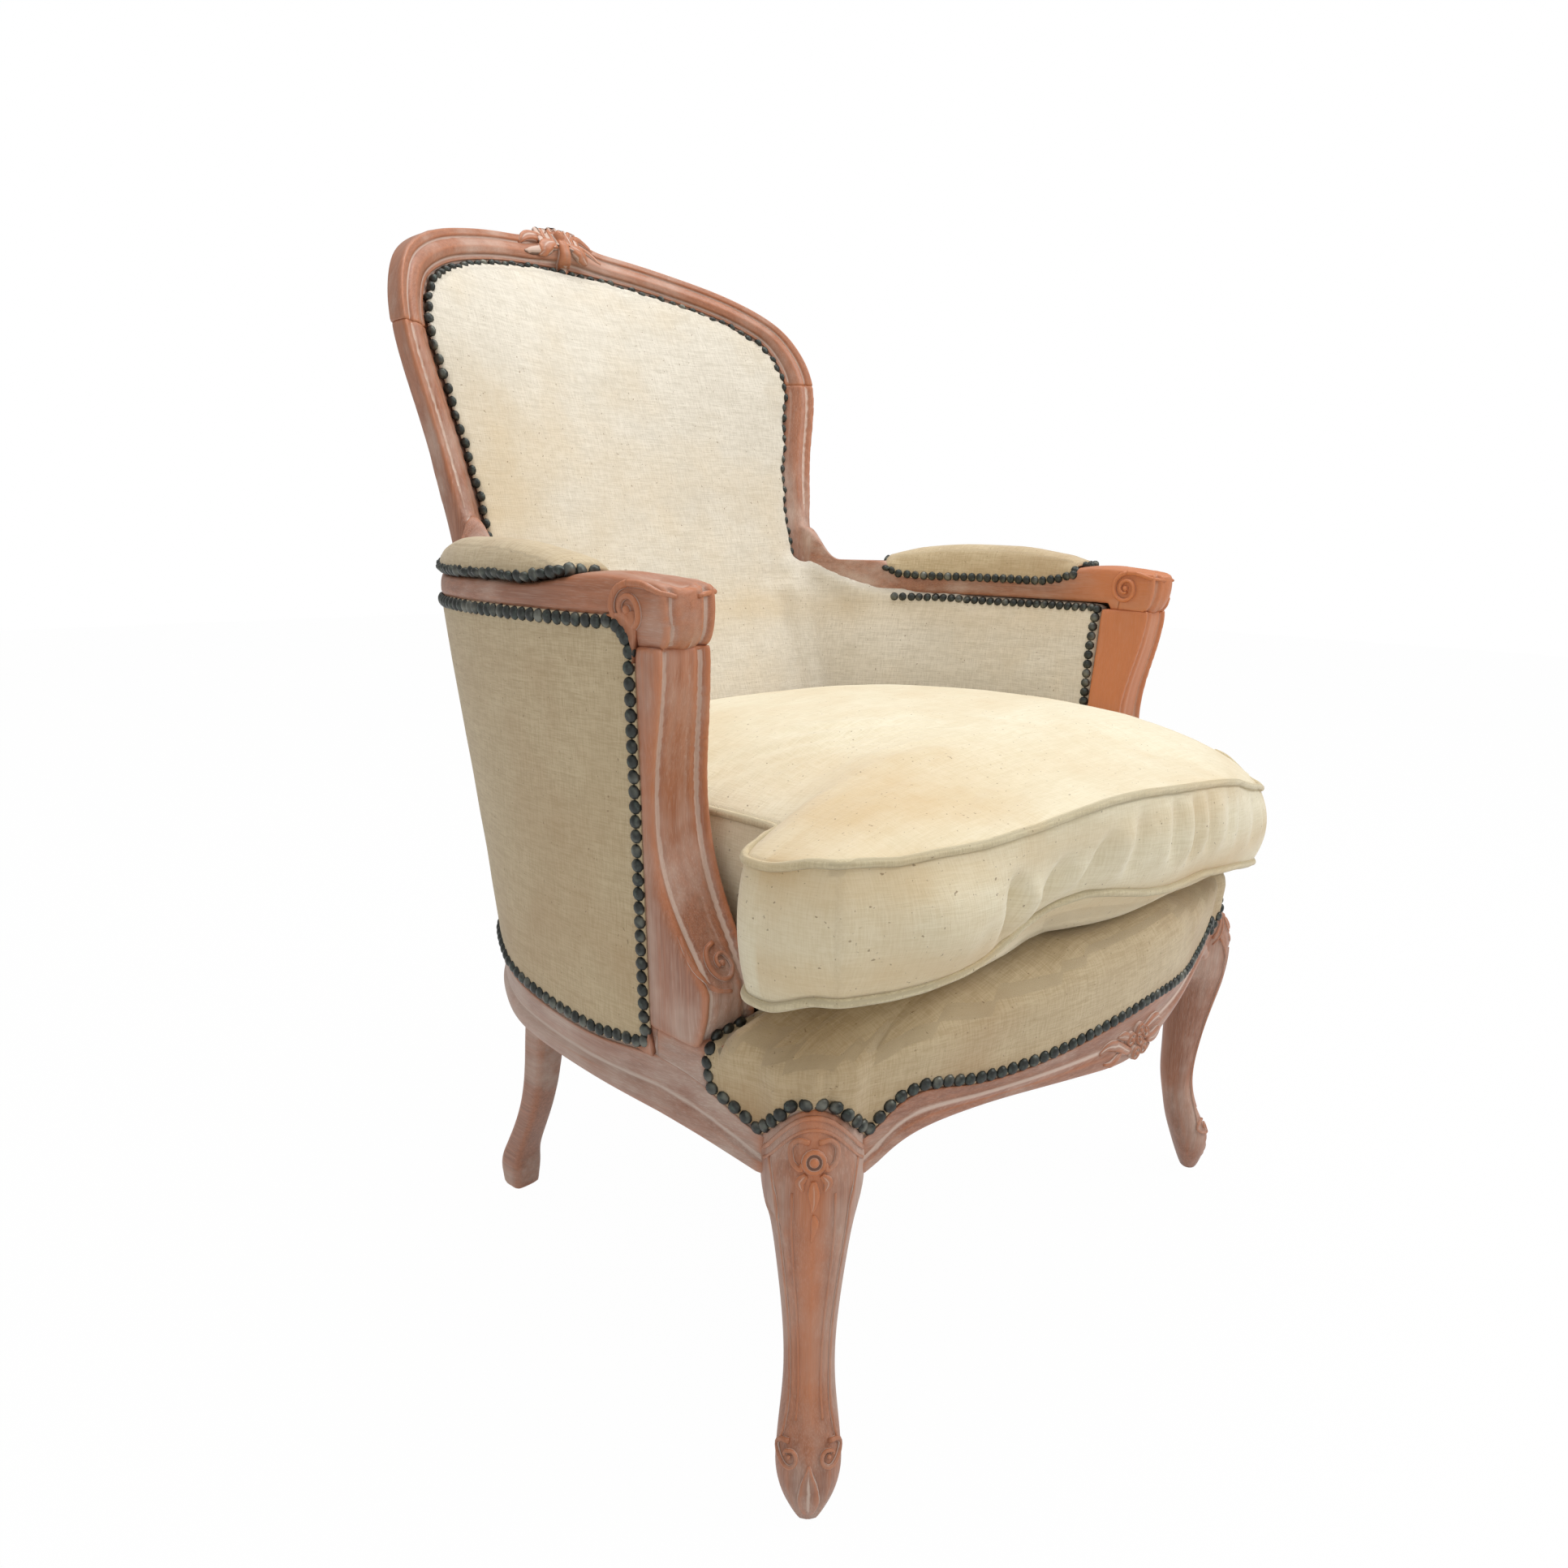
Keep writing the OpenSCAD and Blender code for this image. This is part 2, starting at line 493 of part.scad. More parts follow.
// Arm post: rises from the side rail, set back at its waist and scrolled forward at its foot.
// Rows hold height, place of the front face between waist and scroll, and width as shares.
arm_post_shares = [[0, 0.78, 1.2], [0.02, 0.85, 1.18], [0.08, 0.97, 1.06], [0.15, 1, 1],
    [0.22, 0.75, 1.09], [0.31, 0.38, 1.19], [0.44, 0.07, 1.26],
    [0.6, 0, 1.21], [0.75, 0.13, 1.13], [0.88, 0.29, 1.04], [1, 0.35, 1]];
// Fluted front: across from the inner to the outer face, and depth, as shares
flute_shares = [[0, 0.12], [0.06, 0.02], [0.16, 0], [0.3, 0.06], [0.5, 0.1], [0.7, 0.06], [0.84, 0],
    [0.94, 0.02]];
flute_span = 40;
function arm_post_ring(r) = let (z = mix(rail_top_z + glue_gap, seam_z - glue_gap, r[0]),
    w = wall_at(0, z, 0), width = r[2] * arm_w, xo = w[0], xi = xo - width, yf = -mix(waist_y, scroll_y, r[1]),
    back_out = wall_at(1, z, -lap)[1] - glue_gap, back_in = wall_at(1, z, bead - width)[1] - glue_gap)
    concat([for (s = flute_shares) [mix(xi, xo, s[0]), yf + s[1] * flute_span, z]],
        [[xo, min(yf + flute_shares[0][1] * flute_span, w[1] - soft_edge), z],
            [xo, w[1] - soft_edge / 2, z], [xo - lap, w[1] - shadow, z], [xo - lap, back_out, z],
            [xi + bead, back_in, z], [xi, back_in - bead, z]]);
module arm_post() {
    color(wood) skin([for (r = arm_post_shares) arm_post_ring(r)]);
}

// Hidden slats that carry the lower edge of the inner arm covers
slat_z = 388;
slat_h = 24;
slat_end_shares = [0.42, 0.21];
slat_set_share = 0.32;
slat_set = (arm_w - arm_pad_t) * slat_set_share;
last_pad_step = 14;
module tack_rail() {
    inner = arm_pad_t - arm_w + glue_gap;
    section = [[-slat_set, 0], [-slat_set, slat_h], [inner, slat_h], [inner, 0]];
    rear = [for (s = section) let (z = slat_z + s[1], f = slat_end_shares[s[0] == inner ? 0 : 1])
        [post_edge(z) - post_w * f, post_front(z) - glue_gap, z]];
    rings = [for (j = [1:last_pad_step]) [for (s = section) wall_at(j, slat_z + s[1], s[0])]];
    color(raw_wood) skin(turned(concat(rings, [rear])));
}

// Nailed outer cover of a side, between its post, rails and rear post
module outer_side_panel() {
    rings = [for (j = [0:wall_steps]) let (
        zs = [side_nail_z(side_share(j)) + bead, rail_top_z, (rail_top_z + arm_z) / 2, arm_z,
            panel_top_z - shadow])
        concat([for (z = zs) wall_at(j, z, 0)], [for (i = [len(zs) - 1:-1:0]) wall_at(j, zs[i], -cover_t)])];
    color(dark_linen) skin(turned(rings));
}

// Padded inner side of an arm, tacked under the arm rail and run on to the back
pad_belly = 10;
pad_foot = 10;
belly_shares = [[0.6, 0.9], [1, 0.68], [1, 0.42], [0.8, 0.2], [0.2, 0]];
module inner_arm_pad() {
    top = arm_z - glue_gap;
    low = rail_top_z + pad_foot;
    section = concat([[arm_pad_t - arm_w, 0], [arm_pad_t - arm_w, 1], [-arm_w, 1]],
        [for (s = belly_shares) [-arm_w - s[0] * pad_belly, s[1]]]);
    rear = [for (s = section) let (z = mix(low, top, s[1]),
        k = (s[0] + arm_w + pad_belly) / (arm_pad_t + pad_belly))
        [post_inner(z) - bead + k * post_w / 2, post_front(z) - glue_gap, z]];
    rings = [for (j = [1:last_pad_step]) [for (s = section) wall_at(j, mix(low, top, s[1]), s[0])]];
    color(linen) skin(turned(concat(rings, [rear])));
}

// Arm pad over the rail: rises from both ends in a long dome
pad_ends = [2.4, 13.6];
pad_steps = 12;
pad_round = 13;
pad_end_share = 0.985;
dome_power = 2.6;
dome_fullness = 0.6;
dome_shares = [[0, 0.3], [0.3, 0.7], [1, 0.95]];
module arm_pad() {
    rings = [for (i = [0:pad_steps]) let (
        k = 2 * i / pad_steps - 1,
        h = pad_h * pow(1 - pow(abs(k) * pad_end_share, dome_power), dome_fullness),
        a = arm_share(mix(pad_ends[0], pad_ends[1], i / pad_steps)),
        z = spline(arm_tops, a) + soft_edge + glue_gap,
        p = spline(arm_plan, a), n = right_of(along(arm_plan, a)),
        section = concat([[-soft_edge / 2, 0]], [for (d = dome_shares) [-d[0] * pad_round, d[1]]],
            [[-arm_w / 2, 1]],
            [for (i = [2:-1:0]) [dome_shares[i][0] * pad_round - arm_w, dome_shares[i][1]]],
            [[soft_edge / 2 - arm_w, 0]]))
        [for (s = section) at_z(p + n * s[0], z + h * s[1])]];
    color(dark_linen) skin(turned(rings));
}

// Corner blocks glued and screwed inside the four corners
block_z = 300;
block_h = 38;
block_w = 60;
front_block = [side_in(0.16, rail_t + glue_gap),
    plan_of(leg_at(block_back * 0.75, -block_back - glue_gap, 0)),
    plan_of(leg_at(-block_back * 0.75, -block_back - glue_gap, 0)), front_in(0.24, rail_t + glue_gap)];
rear_block = let (x = post_inner(rail_z) - block_w, end = at_z(side_in(1, rail_t + glue_gap), 0))
    [[x, back_y(x, rail_z) + soft_edge - 2 * glue_gap],
        plan_of(to_y(end, along(side_plan, 1),
            back_y(post_inner(rail_z) - 4 * bead, rail_z) - glue_gap)),
        side_in(0.86, rail_t + glue_gap)];
module corner_blocks() {
    color(raw_wood) for (m = [0, 1]) mirror([m, 0, 0]) translate([0, 0, block_z]) {
        linear_extrude(block_h) polygon(front_block);
        linear_extrude(block_h) polygon(rear_block);
    }
}

// Wood screws through the blocks into the rails, from plan point p along direction d
screw_head_h = 3;
module screw(p, d) {
    translate([p[0], p[1], block_z + block_h / 2]) rotate([0, 90, atan2(d[1], d[0])]) {
        cylinder(r = 2 * screw_r, h = screw_head_h, $fn = 24);
        cylinder(r = screw_r, h = screw_l, $fn = 24);
    }
}
module block_screws() {
    color(steel) for (m = [0, 1]) mirror([m, 0, 0]) {
        screw(mix(front_block[3], front_block[0], 0.3), -right_of(along(front_plan, 0.12)));
        screw(mix(front_block[3], front_block[0], 0.75), right_of(along(side_plan, 0.12)));
        screw(mix(rear_block[0], rear_block[2], 0.3), [0, 1]);
        screw(mix(rear_block[0], rear_block[2], 0.7), right_of(along(side_plan, 0.9)));
    }
}

// Dowels across the joints of the frame, centred on point p and lying along direction d
module dowel(p, d) {
    translate(p) rotate([0, acos(d[2] / norm(d)), atan2(d[1], d[0])])
        cylinder(r = dowel_r, h = dowel_l, center = true, $fn = 24);
}
dowel_zs = [mix(rail_z, rail_top_z, 0.25), mix(rail_z, rail_top_z, 0.75)];
module joint_dowels() {
    t_side = along(side_plan, 0);
    t_front = along(front_plan, 0);
    t_rear = along(side_plan, 1);
    seat = side_in(0.002, rail_t / 2);
    front = front_in(0.002, rail_t / 2);
    rear = side_in(0.995, rail_t / 2 - bead);
    arm = spline(arm_plan, 0.04);
    color(raw_wood) for (m = [0, 1]) mirror([m, 0, 0]) {
        for (z = dowel_zs) {
            dowel(to_leg(at_z(seat, z), t_side, leg_block_half), at_z(t_side, 0));
            dowel(to_leg(at_z(front, z), t_front, -leg_block_half), at_z(t_front, 0));
            dowel(to_y(at_z(rear, z), t_rear, post_front(z)), [0, 1, 0]);
            dowel([post_inner(z), back_y(post_inner(z), z) + frame_t / 2, z], [1, 0, 0]);
        }
        dowel([arm[0] - arm_w / 2, -waist_y + rail_t / 2, seam_z], [0, 0, 1]);
        dowel([arm[0] - arm_w / 2, -waist_y + rail_t / 4, rail_top_z], [0, 0, 1]);
    }
}

// Jute webbing under the rails: straps along the seat over straps across it
side_table = [for (i = [40:-1:0]) let (p = spline(side_plan, i / 40)) [-p[1], p[0]]];
function side_x(y) = lookup(-y, side_table);
front_table = [for (i = [20:-1:0]) let (p = spline(front_plan, i / 40)) [p[0], p[1]]];
function front_y(x) = lookup(abs(x), front_table);
web_in = rail_ledge + 2 * bead;
web_back = frame_t - rail_ledge - 2 * bead;
// Spacing of the straps and springs as shares of the webbing's width
strap_share = 1.6;
spring_share = 1.9;
cross_start = 228;
strap_places = [-1.5, -0.5, 0.5, 1.5];
module seat_webbing() {
    color(jute) {
        for (k = strap_places) let (x = k * web_w * strap_share, edge = abs(x) + web_w / 2,
            y0 = front_y(edge) + web_in, y1 = back_y(edge, rail_z) + web_back)
            translate([x - web_w / 2, y0, rail_z - glue_gap - web_t]) cube([web_w, y1 - y0, web_t]);
        for (k = [0:3]) let (y = k * web_w * strap_share - cross_start,
            h = min(side_x(y), side_x(y + web_w)) - web_in)
            translate([-h, y, rail_z - 2 * (glue_gap + web_t)]) cube([2 * h, web_w, web_t]);
    }
}

// Hourglass springs on the webbing, each one unbroken wire
waist_share = 0.62;
spring_rows = [0.5, 2.5];
curl_rings = 8;
wire_sides = 5;
function spring_path(t, h) = let (r = (spring_r - wire_r) * mix(waist_share, 1, pow(2 * t - 1, 2)),
    a = 360 * spring_turns * t) [r * cos(a), r * sin(a), mix(wire_r, h - wire_r, t)];
module spring(h) {
    n = spring_turns * curl_rings;
    skin([for (i = [0:n]) let (t = i / n, p = spring_path(t, h),
        d = unit(spring_path(t + step_share, h) - spring_path(t - step_share, h)),
        u = unit([p[0], p[1], 0]), v = cross(d, u))
        [for (k = [0:wire_sides - 1]) p + wire_r * (u * cos(360 * k / wire_sides) + v * sin(360 * k / wire_sides))]]);
}
module seat_springs() {
    color(steel) for (k = [-1, 0, 1], row = spring_rows)
        let (y = (row * strap_share + 1 / 2) * web_w - cross_start)
            translate([k * web_w * spring_share, y, rail_z + glue_gap]) spring(rail_top_z - rail_z - glue_gap);
}

// Cotton cloth under the seat, cut round the legs and posts
module dust_cover() {
    notch_s = leg_block_half + soft_edge;
    notch_u = [-rail_t * 0.8, -block_back - soft_edge];
    x = post_inner(0) - bead;
    half = concat([for (v = [1, 0.75, 0.5, 0.25]) front_in(v, web_in)],
        [for (c = [[-1, 0], [-1, 1], [1, 1], [1, 0]]) plan_of(leg_at(c[0] * notch_s, notch_u[c[1]], 0))],
        [for (s = [0.2, 0.4, 0.6, 0.75, 0.88]) side_in(s, web_in)],
        [[x, post_front(rail_z) - 4 * bead]],
        [for (k = [1, 0.75, 0.5, 0.25, 0]) [k * x, back_y(k * x, rail_z) + web_back - bead]]);
    color(cotton) translate([0, 0, rail_z - 3 * (glue_gap + web_t)])
        linear_extrude(web_t) polygon(both_halves(half));
}

// Outline of the stuffed seat, o outside its own line, from the middle of the front round to
// the middle of the back
deck_notch = 16;
deck_side = arm_w + pad_belly + 2 * soft_edge;
// Places round the knee, from the front joint to the side joint
knee_rows = concat([for (i = [3:-1:1]) [-block_rows[i][0], block_rows[i][1], block_rows[i][2]]],
    [for (i = [0:3]) block_rows[i]]);
function knee_at(r, o) = plan_of(leg_at(r[0] * leg_block_half, r[1] * knee_top + r[2] + o, 0));
function deck_half(o) = let (c = side_in(0.06, 0)) concat(
    [for (v = [1, 0.8, 0.6, 0.4, 0.24, 0.12]) front_in(v, -o)],
    [for (r = knee_rows) knee_at(r, o - soft_edge)],
    [side_in(0.04, -o), side_in(0.06, -o)],
    [[c[0] - arm_w - deck_notch + min(0, o), side_in(0.06, -o)[1]]],
    [for (s = [0.2, 0.32, 0.5, 0.68, 0.82, 0.93]) side_in(s, deck_side - min(0, o))],
    [for (k = [0.95, 0.7, 0.35, 0]) let (x = k * (post_inner(rail_top_z) - 4 * bead))
        [x, back_y(x, rail_top_z) + min(0, o)]]);
module seat_hessian() {
    color(jute) translate([0, 0, rail_top_z + glue_gap])
        linear_extrude(web_t) polygon(both_halves(deck_half(-web_in)));
}

// Share by which a place counts as a front corner, where the seat sinks and the cushion droops
corner_start = [60, -190];
corner_span = [240, -190];
function corner(p) =
    ease((abs(p[0]) - corner_start[0]) / corner_span[0]) * ease((p[1] - corner_start[1]) / corner_span[1]);
deck_z = rail_top_z + 2 * glue_gap + web_t;
deck_round = 18;
sink_share = 0.72;
deck_shares = [[-0.11, 0], [0.11, 0.2], [0.17, 0.42], [0, 0.68], [-0.39, 0.88], [-1, 1]];
function deck_point(p, k) = at_z(p, deck_z + deck_h * k * (1 - sink_share * corner(p)));
deck_centre = [0, -290];
module seat_deck() {
    top = both_halves(deck_half(-deck_round));
    rings = concat(
        [for (r = deck_shares) [for (p = both_halves(deck_half(r[0] * deck_round))) deck_point(p, r[1])]],
        [for (f = [0.88, 0.74, 0.58, 0.4]) [for (p = top) deck_point(mix(deck_centre, p, f), 1)]]);
    color(linen) capped_skin(at_z(deck_centre, deck_z), rings, deck_point(deck_centre, 1));
}

// Nailed border of the seat cover, from one arm post round the front to the other. Each place
// holds its outer point, its inner point and the height of its lower edge.
function border_half() = concat(
    [for (i = [front_steps:-1:1]) let (v = i / front_steps)
        [front_in(v, 0), front_in(v, cover_t), front_nail_z(v) + shadow + glue_gap]],
    [for (r = knee_rows)
        [knee_at(r, 0), knee_at(r, -cover_t), knee_peak_z - knee_arch * pow(r[0], 2) + 2 * glue_gap]],
    [for (s = [0.03, 0.05, 0.1])
        [side_in(s, 0), side_in(s, cover_t), side_nail_z(s) + shadow + glue_gap]]);
module deck_border() {
    h = border_half();
    round_front = concat(
        [for (i = [len(h) - 1:-1:1]) [flipped(h[i][0]), flipped(h[i][1]), h[i][2]]], h);
    color(linen) skin(turned([for (b = round_front)
        [at_z(b[0], b[2]), at_z(b[0], rail_top_z), at_z(b[1], rail_top_z), at_z(b[1], b[2])]]));
}

// Sheets and pads across the hollow back: rows of half width and height, faces near and far
// behind the back's face, and a crown towards the sitter
pad_low_z = 394;
back_row_shares = [0.02, 0.12, 0.22, 0.32, 0.42, 0.5, 0.56, 0.62, 0.68, 0.74, 0.8, 0.87, 0.94];
pad_top_share = 0.97;
panel_top_share = 0.985;
back_cols = 12;
function opening_rows(a, top) = [for (v = concat(back_row_shares, [top])) frame_inner(v, a)];
function crown_share(k, f) = (1 - pow(abs(k), 3)) * (1 - pow(abs(2 * f - 1), 4));
module back_sheet(rows, near, far, crown) {
    low = rows[0][1];
    high = rows[len(rows) - 1][1];
    ks = [for (i = [0:back_cols]) 2 * i / back_cols - 1];
    skin([for (r = rows) let (f = (r[1] - low) / (high - low))
        concat([for (k = ks) [k * r[0], back_y(k * r[0], r[1]) + near - crown * crown_share(k, f), r[1]]],
            [for (k = ks) [-k * r[0], back_y(k * r[0], r[1]) + far, r[1]]])]);
}
pad_edge = 6;
module back_pad() {
    low = [for (k = [0:5]) let (z = mix(pad_low_z, frame_z - soft_edge, k / 5)) [bay_half(z) - soft_edge, z]];
    rows = concat(low, opening_rows(frame_w + soft_edge, pad_top_share));
    color(linen) back_sheet(rows, -pad_edge, cover_t, back_pad_t - pad_edge);
}
module outer_back_panel() {
    low = [for (k = [0:5]) let (z = mix(rail_z + band_h + bead, frame_z - soft_edge, k / 5))
        [bay_half(z) - soft_edge, z]];
    rows = concat(low, opening_rows(frame_w + frame_rebate + soft_edge, panel_top_share));
    color(dark_linen) back_sheet(rows, frame_t - cover_t, frame_t, 0);
}
web_row_shares = [0.15, 0.42, 0.68];
web_gap = 1;
module back_webbing() {
    near = lap + shadow + glue_gap;
    z0 = lower_rail_z + lower_rail_h + glue_gap;
    edge = frame_w + frame_rebate + bead;
    top = frame_inner(0.985, edge)[1];
    color(jute) {
        for (k = [-1, 0, 1]) skin([for (i = [0:8]) let (z = mix(z0, top - abs(k) * 4 * bead, i / 8))
            [for (s = [[-1, 0], [0, 0], [1, 0], [1, 1], [0, 1], [-1, 1]])
                let (x = k * web_w * strap_share + s[0] * web_w / 2)
                [x, back_y(x, z) + near + s[1] * web_t, z]]]);
        half = frame_inner(0.1, edge)[0] - web_t;
        for (f = web_row_shares) let (z = mix(z0, top, f)) skin([for (i = [0:10])
            [for (s = [[0, 1], [0, -1], [1, -1], [1, 1]])
                let (x = (i / 5 - 1) * half, h = z + s[1] * web_w / 2)
                [x, back_y(x, h) + near + web_t + web_gap + s[0] * web_t, h]]]);
    }
}

// Loose cushion: T outline with a bowed front, piped at the top and bottom of its boxing.
// Wings as shares of their half width and of the front edge; body as shares of its half width
// and of the length from the front edge.
cushion_low = deck_z + deck_h + glue_gap;
cushion_top = cushion_low + 2 * piping_r + boxing_h;
wing_shares = [[0, 1], [0.36, 0.985], [0.66, 0.94], [0.87, 0.89], [0.965, 0.85], [1, 0.785], [1.002, 0.71],
    [0.99, 0.662]];
body_shares = [[1.083, 0.254], [1.015, 0.268], [1, 0.3], [1, 0.417], [1.008, 0.524], [0.992, 0.63],
    [0.95, 0.719], [0.88, 0.787], [0.8, 0.847], [0.7, 0.904], [0.57, 0.943], [0.41, 0.972],
    [0.207, 0.991], [0, 1]];
cushion_half_w = min(seat_half_w, arm_half_w) - arm_w - pad_belly - cushion_gap;
wing_half_w = seat_half_w - wing_in;
cushion_outline = both_halves(concat([for (s = wing_shares) [s[0] * wing_half_w, -s[1] * cushion_front]],
    [for (s = body_shares) [s[0] * cushion_half_w, mix(-cushion_front, cushion_rear, s[1])]]));
cushion_centre = [0, -215];
function cushion_normal(i) = let (n = len(cushion_outline))
    right_of(unit(cushion_outline[(i + 1) % n] - cushion_outline[(i + n - 1) % n]));
deck_sink = deck_h * sink_share;
follow_share = 0.85;
function droop(p, z) = let (c = p[0] > 0 ? corner(p) : 0)
    mix(pow(c, 2) * deck_sink * follow_share, c * corner_droop, clamp((z - cushion_low) / boxing_h));
boxing_bulge = 3;
crown_power = 3.2;
piping_out = piping_r * 0.8;
piping_in = piping_r * 0.7;
// Rings as share of the outline, outward offset and height
cushion_rings = concat(
    [for (f = [0.35, 0.55, 0.72, 0.88]) [f, 0, cushion_low]], [[1, -piping_r, cushion_low + piping_r / 3],
        [1, piping_out, cushion_low + piping_r], [1, -piping_in, cushion_low + 2 * piping_r]],
    [for (k = [0.25, 0.5, 0.75])
        [1, boxing_bulge * sin(180 * k), mix(cushion_low + piping_r, cushion_top, k)]],
    [[1, -piping_in, cushion_top - piping_r], [1, piping_out, cushion_top],
        [1, -piping_r, cushion_top + piping_r]],
    [for (f = [0.93, 0.8, 0.6, 0.34]) [f, 0, cushion_top + cushion_crown * (1 - pow(f, crown_power))]]);
module seat_cushion() {
    rings = [for (r = cushion_rings) [for (i = [0:len(cushion_outline) - 1]) let (
        p = mix(cushion_centre, cushion_outline[i] + cushion_normal(i) * r[1], r[0]))
        at_z(p, r[2] - droop(p, r[2]))]];
    color(linen) capped_skin(at_z(cushion_centre, cushion_low), rings,
        at_z(cushion_centre, cushion_top + cushion_crown));
}

crest_rail();
left() rear_post();  // rear_post_left
rear_post();  // rear_post_right
back_lower_rail();
left() arm_rail();  // arm_rail_left
arm_rail();  // arm_rail_right
left() arm_post();  // arm_post_left
arm_post();  // arm_post_right
left() front_leg();  // front_leg_left
front_leg();  // front_leg_right
front_rail();
left() side_rail();  // side_rail_left
side_rail();  // side_rail_right
rear_rail();
left() tack_rail();  // tack_rail_left
tack_rail();  // tack_rail_right
corner_blocks();
block_screws();
joint_dowels();
seat_webbing();
seat_springs();
seat_hessian();
seat_deck();
deck_border();
dust_cover();
back_webbing();
back_pad();
left() inner_arm_pad();  // inner_arm_pad_left
inner_arm_pad();  // inner_arm_pad_right
left() outer_side_panel();  // outer_side_panel_left
outer_side_panel();  // outer_side_panel_right
outer_back_panel();
left() arm_pad();  // arm_pad_left
arm_pad();  // arm_pad_right
seat_cushion();
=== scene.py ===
"""Closed-arm upholstered armchair with a limed beech frame.

Finishes, covers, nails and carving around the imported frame. Lengths are in metres, X runs across
the seat, the front looks to -Y and Z rises from the floor.
"""

import logging
import math
from dataclasses import dataclass, field
from enum import Enum
from typing import Callable, Iterable, Sequence

import bmesh
import bpy
import numpy as np
from mathutils import Matrix, Vector, noise
from mathutils.bvhtree import BVHTree


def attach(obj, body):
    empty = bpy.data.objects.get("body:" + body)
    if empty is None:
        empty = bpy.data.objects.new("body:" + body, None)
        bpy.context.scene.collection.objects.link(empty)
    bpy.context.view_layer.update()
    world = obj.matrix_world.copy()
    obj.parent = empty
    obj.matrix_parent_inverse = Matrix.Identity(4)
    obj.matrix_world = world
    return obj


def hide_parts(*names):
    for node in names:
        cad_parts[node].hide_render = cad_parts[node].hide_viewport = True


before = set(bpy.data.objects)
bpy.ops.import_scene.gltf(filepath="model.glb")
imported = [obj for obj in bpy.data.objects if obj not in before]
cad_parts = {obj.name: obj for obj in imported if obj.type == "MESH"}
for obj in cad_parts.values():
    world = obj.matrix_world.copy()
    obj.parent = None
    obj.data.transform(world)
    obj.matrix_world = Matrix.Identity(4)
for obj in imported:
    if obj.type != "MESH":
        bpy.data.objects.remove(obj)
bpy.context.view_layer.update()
LOG = logging.getLogger("armchair")
MM = 0.001

Colour = tuple[float, float, float]
Keep = Callable[[Vector], bool]
Ends = Sequence[tuple[int, int, float]]


class Grain(Enum):
    """The way the wood's grain runs in a piece."""

    ACROSS = 0
    DEPTH = 1
    UPRIGHT = 2
    ARCH = 3


class Side(Enum):
    """The two sides of the chair, as the sign of X."""

    LEFT = -1
    RIGHT = 1

    @property
    def word(self) -> str:
        """The side's word in the names of nodes and pieces."""
        return self.name.lower()


def linear(colour: Colour) -> tuple[float, float, float, float]:
    """A colour as written on screen, turned into the shader's linear values.

    Args:
        colour: red, green and blue from 0 to 255.

    Returns:
        Red, green, blue and alpha for a shader socket.
    """
    parts = [c / 255 for c in colour]
    return (*[p / 12.92 if p <= 0.04045 else ((p + 0.055) / 1.055) ** 2.4 for p in parts], 1.0)


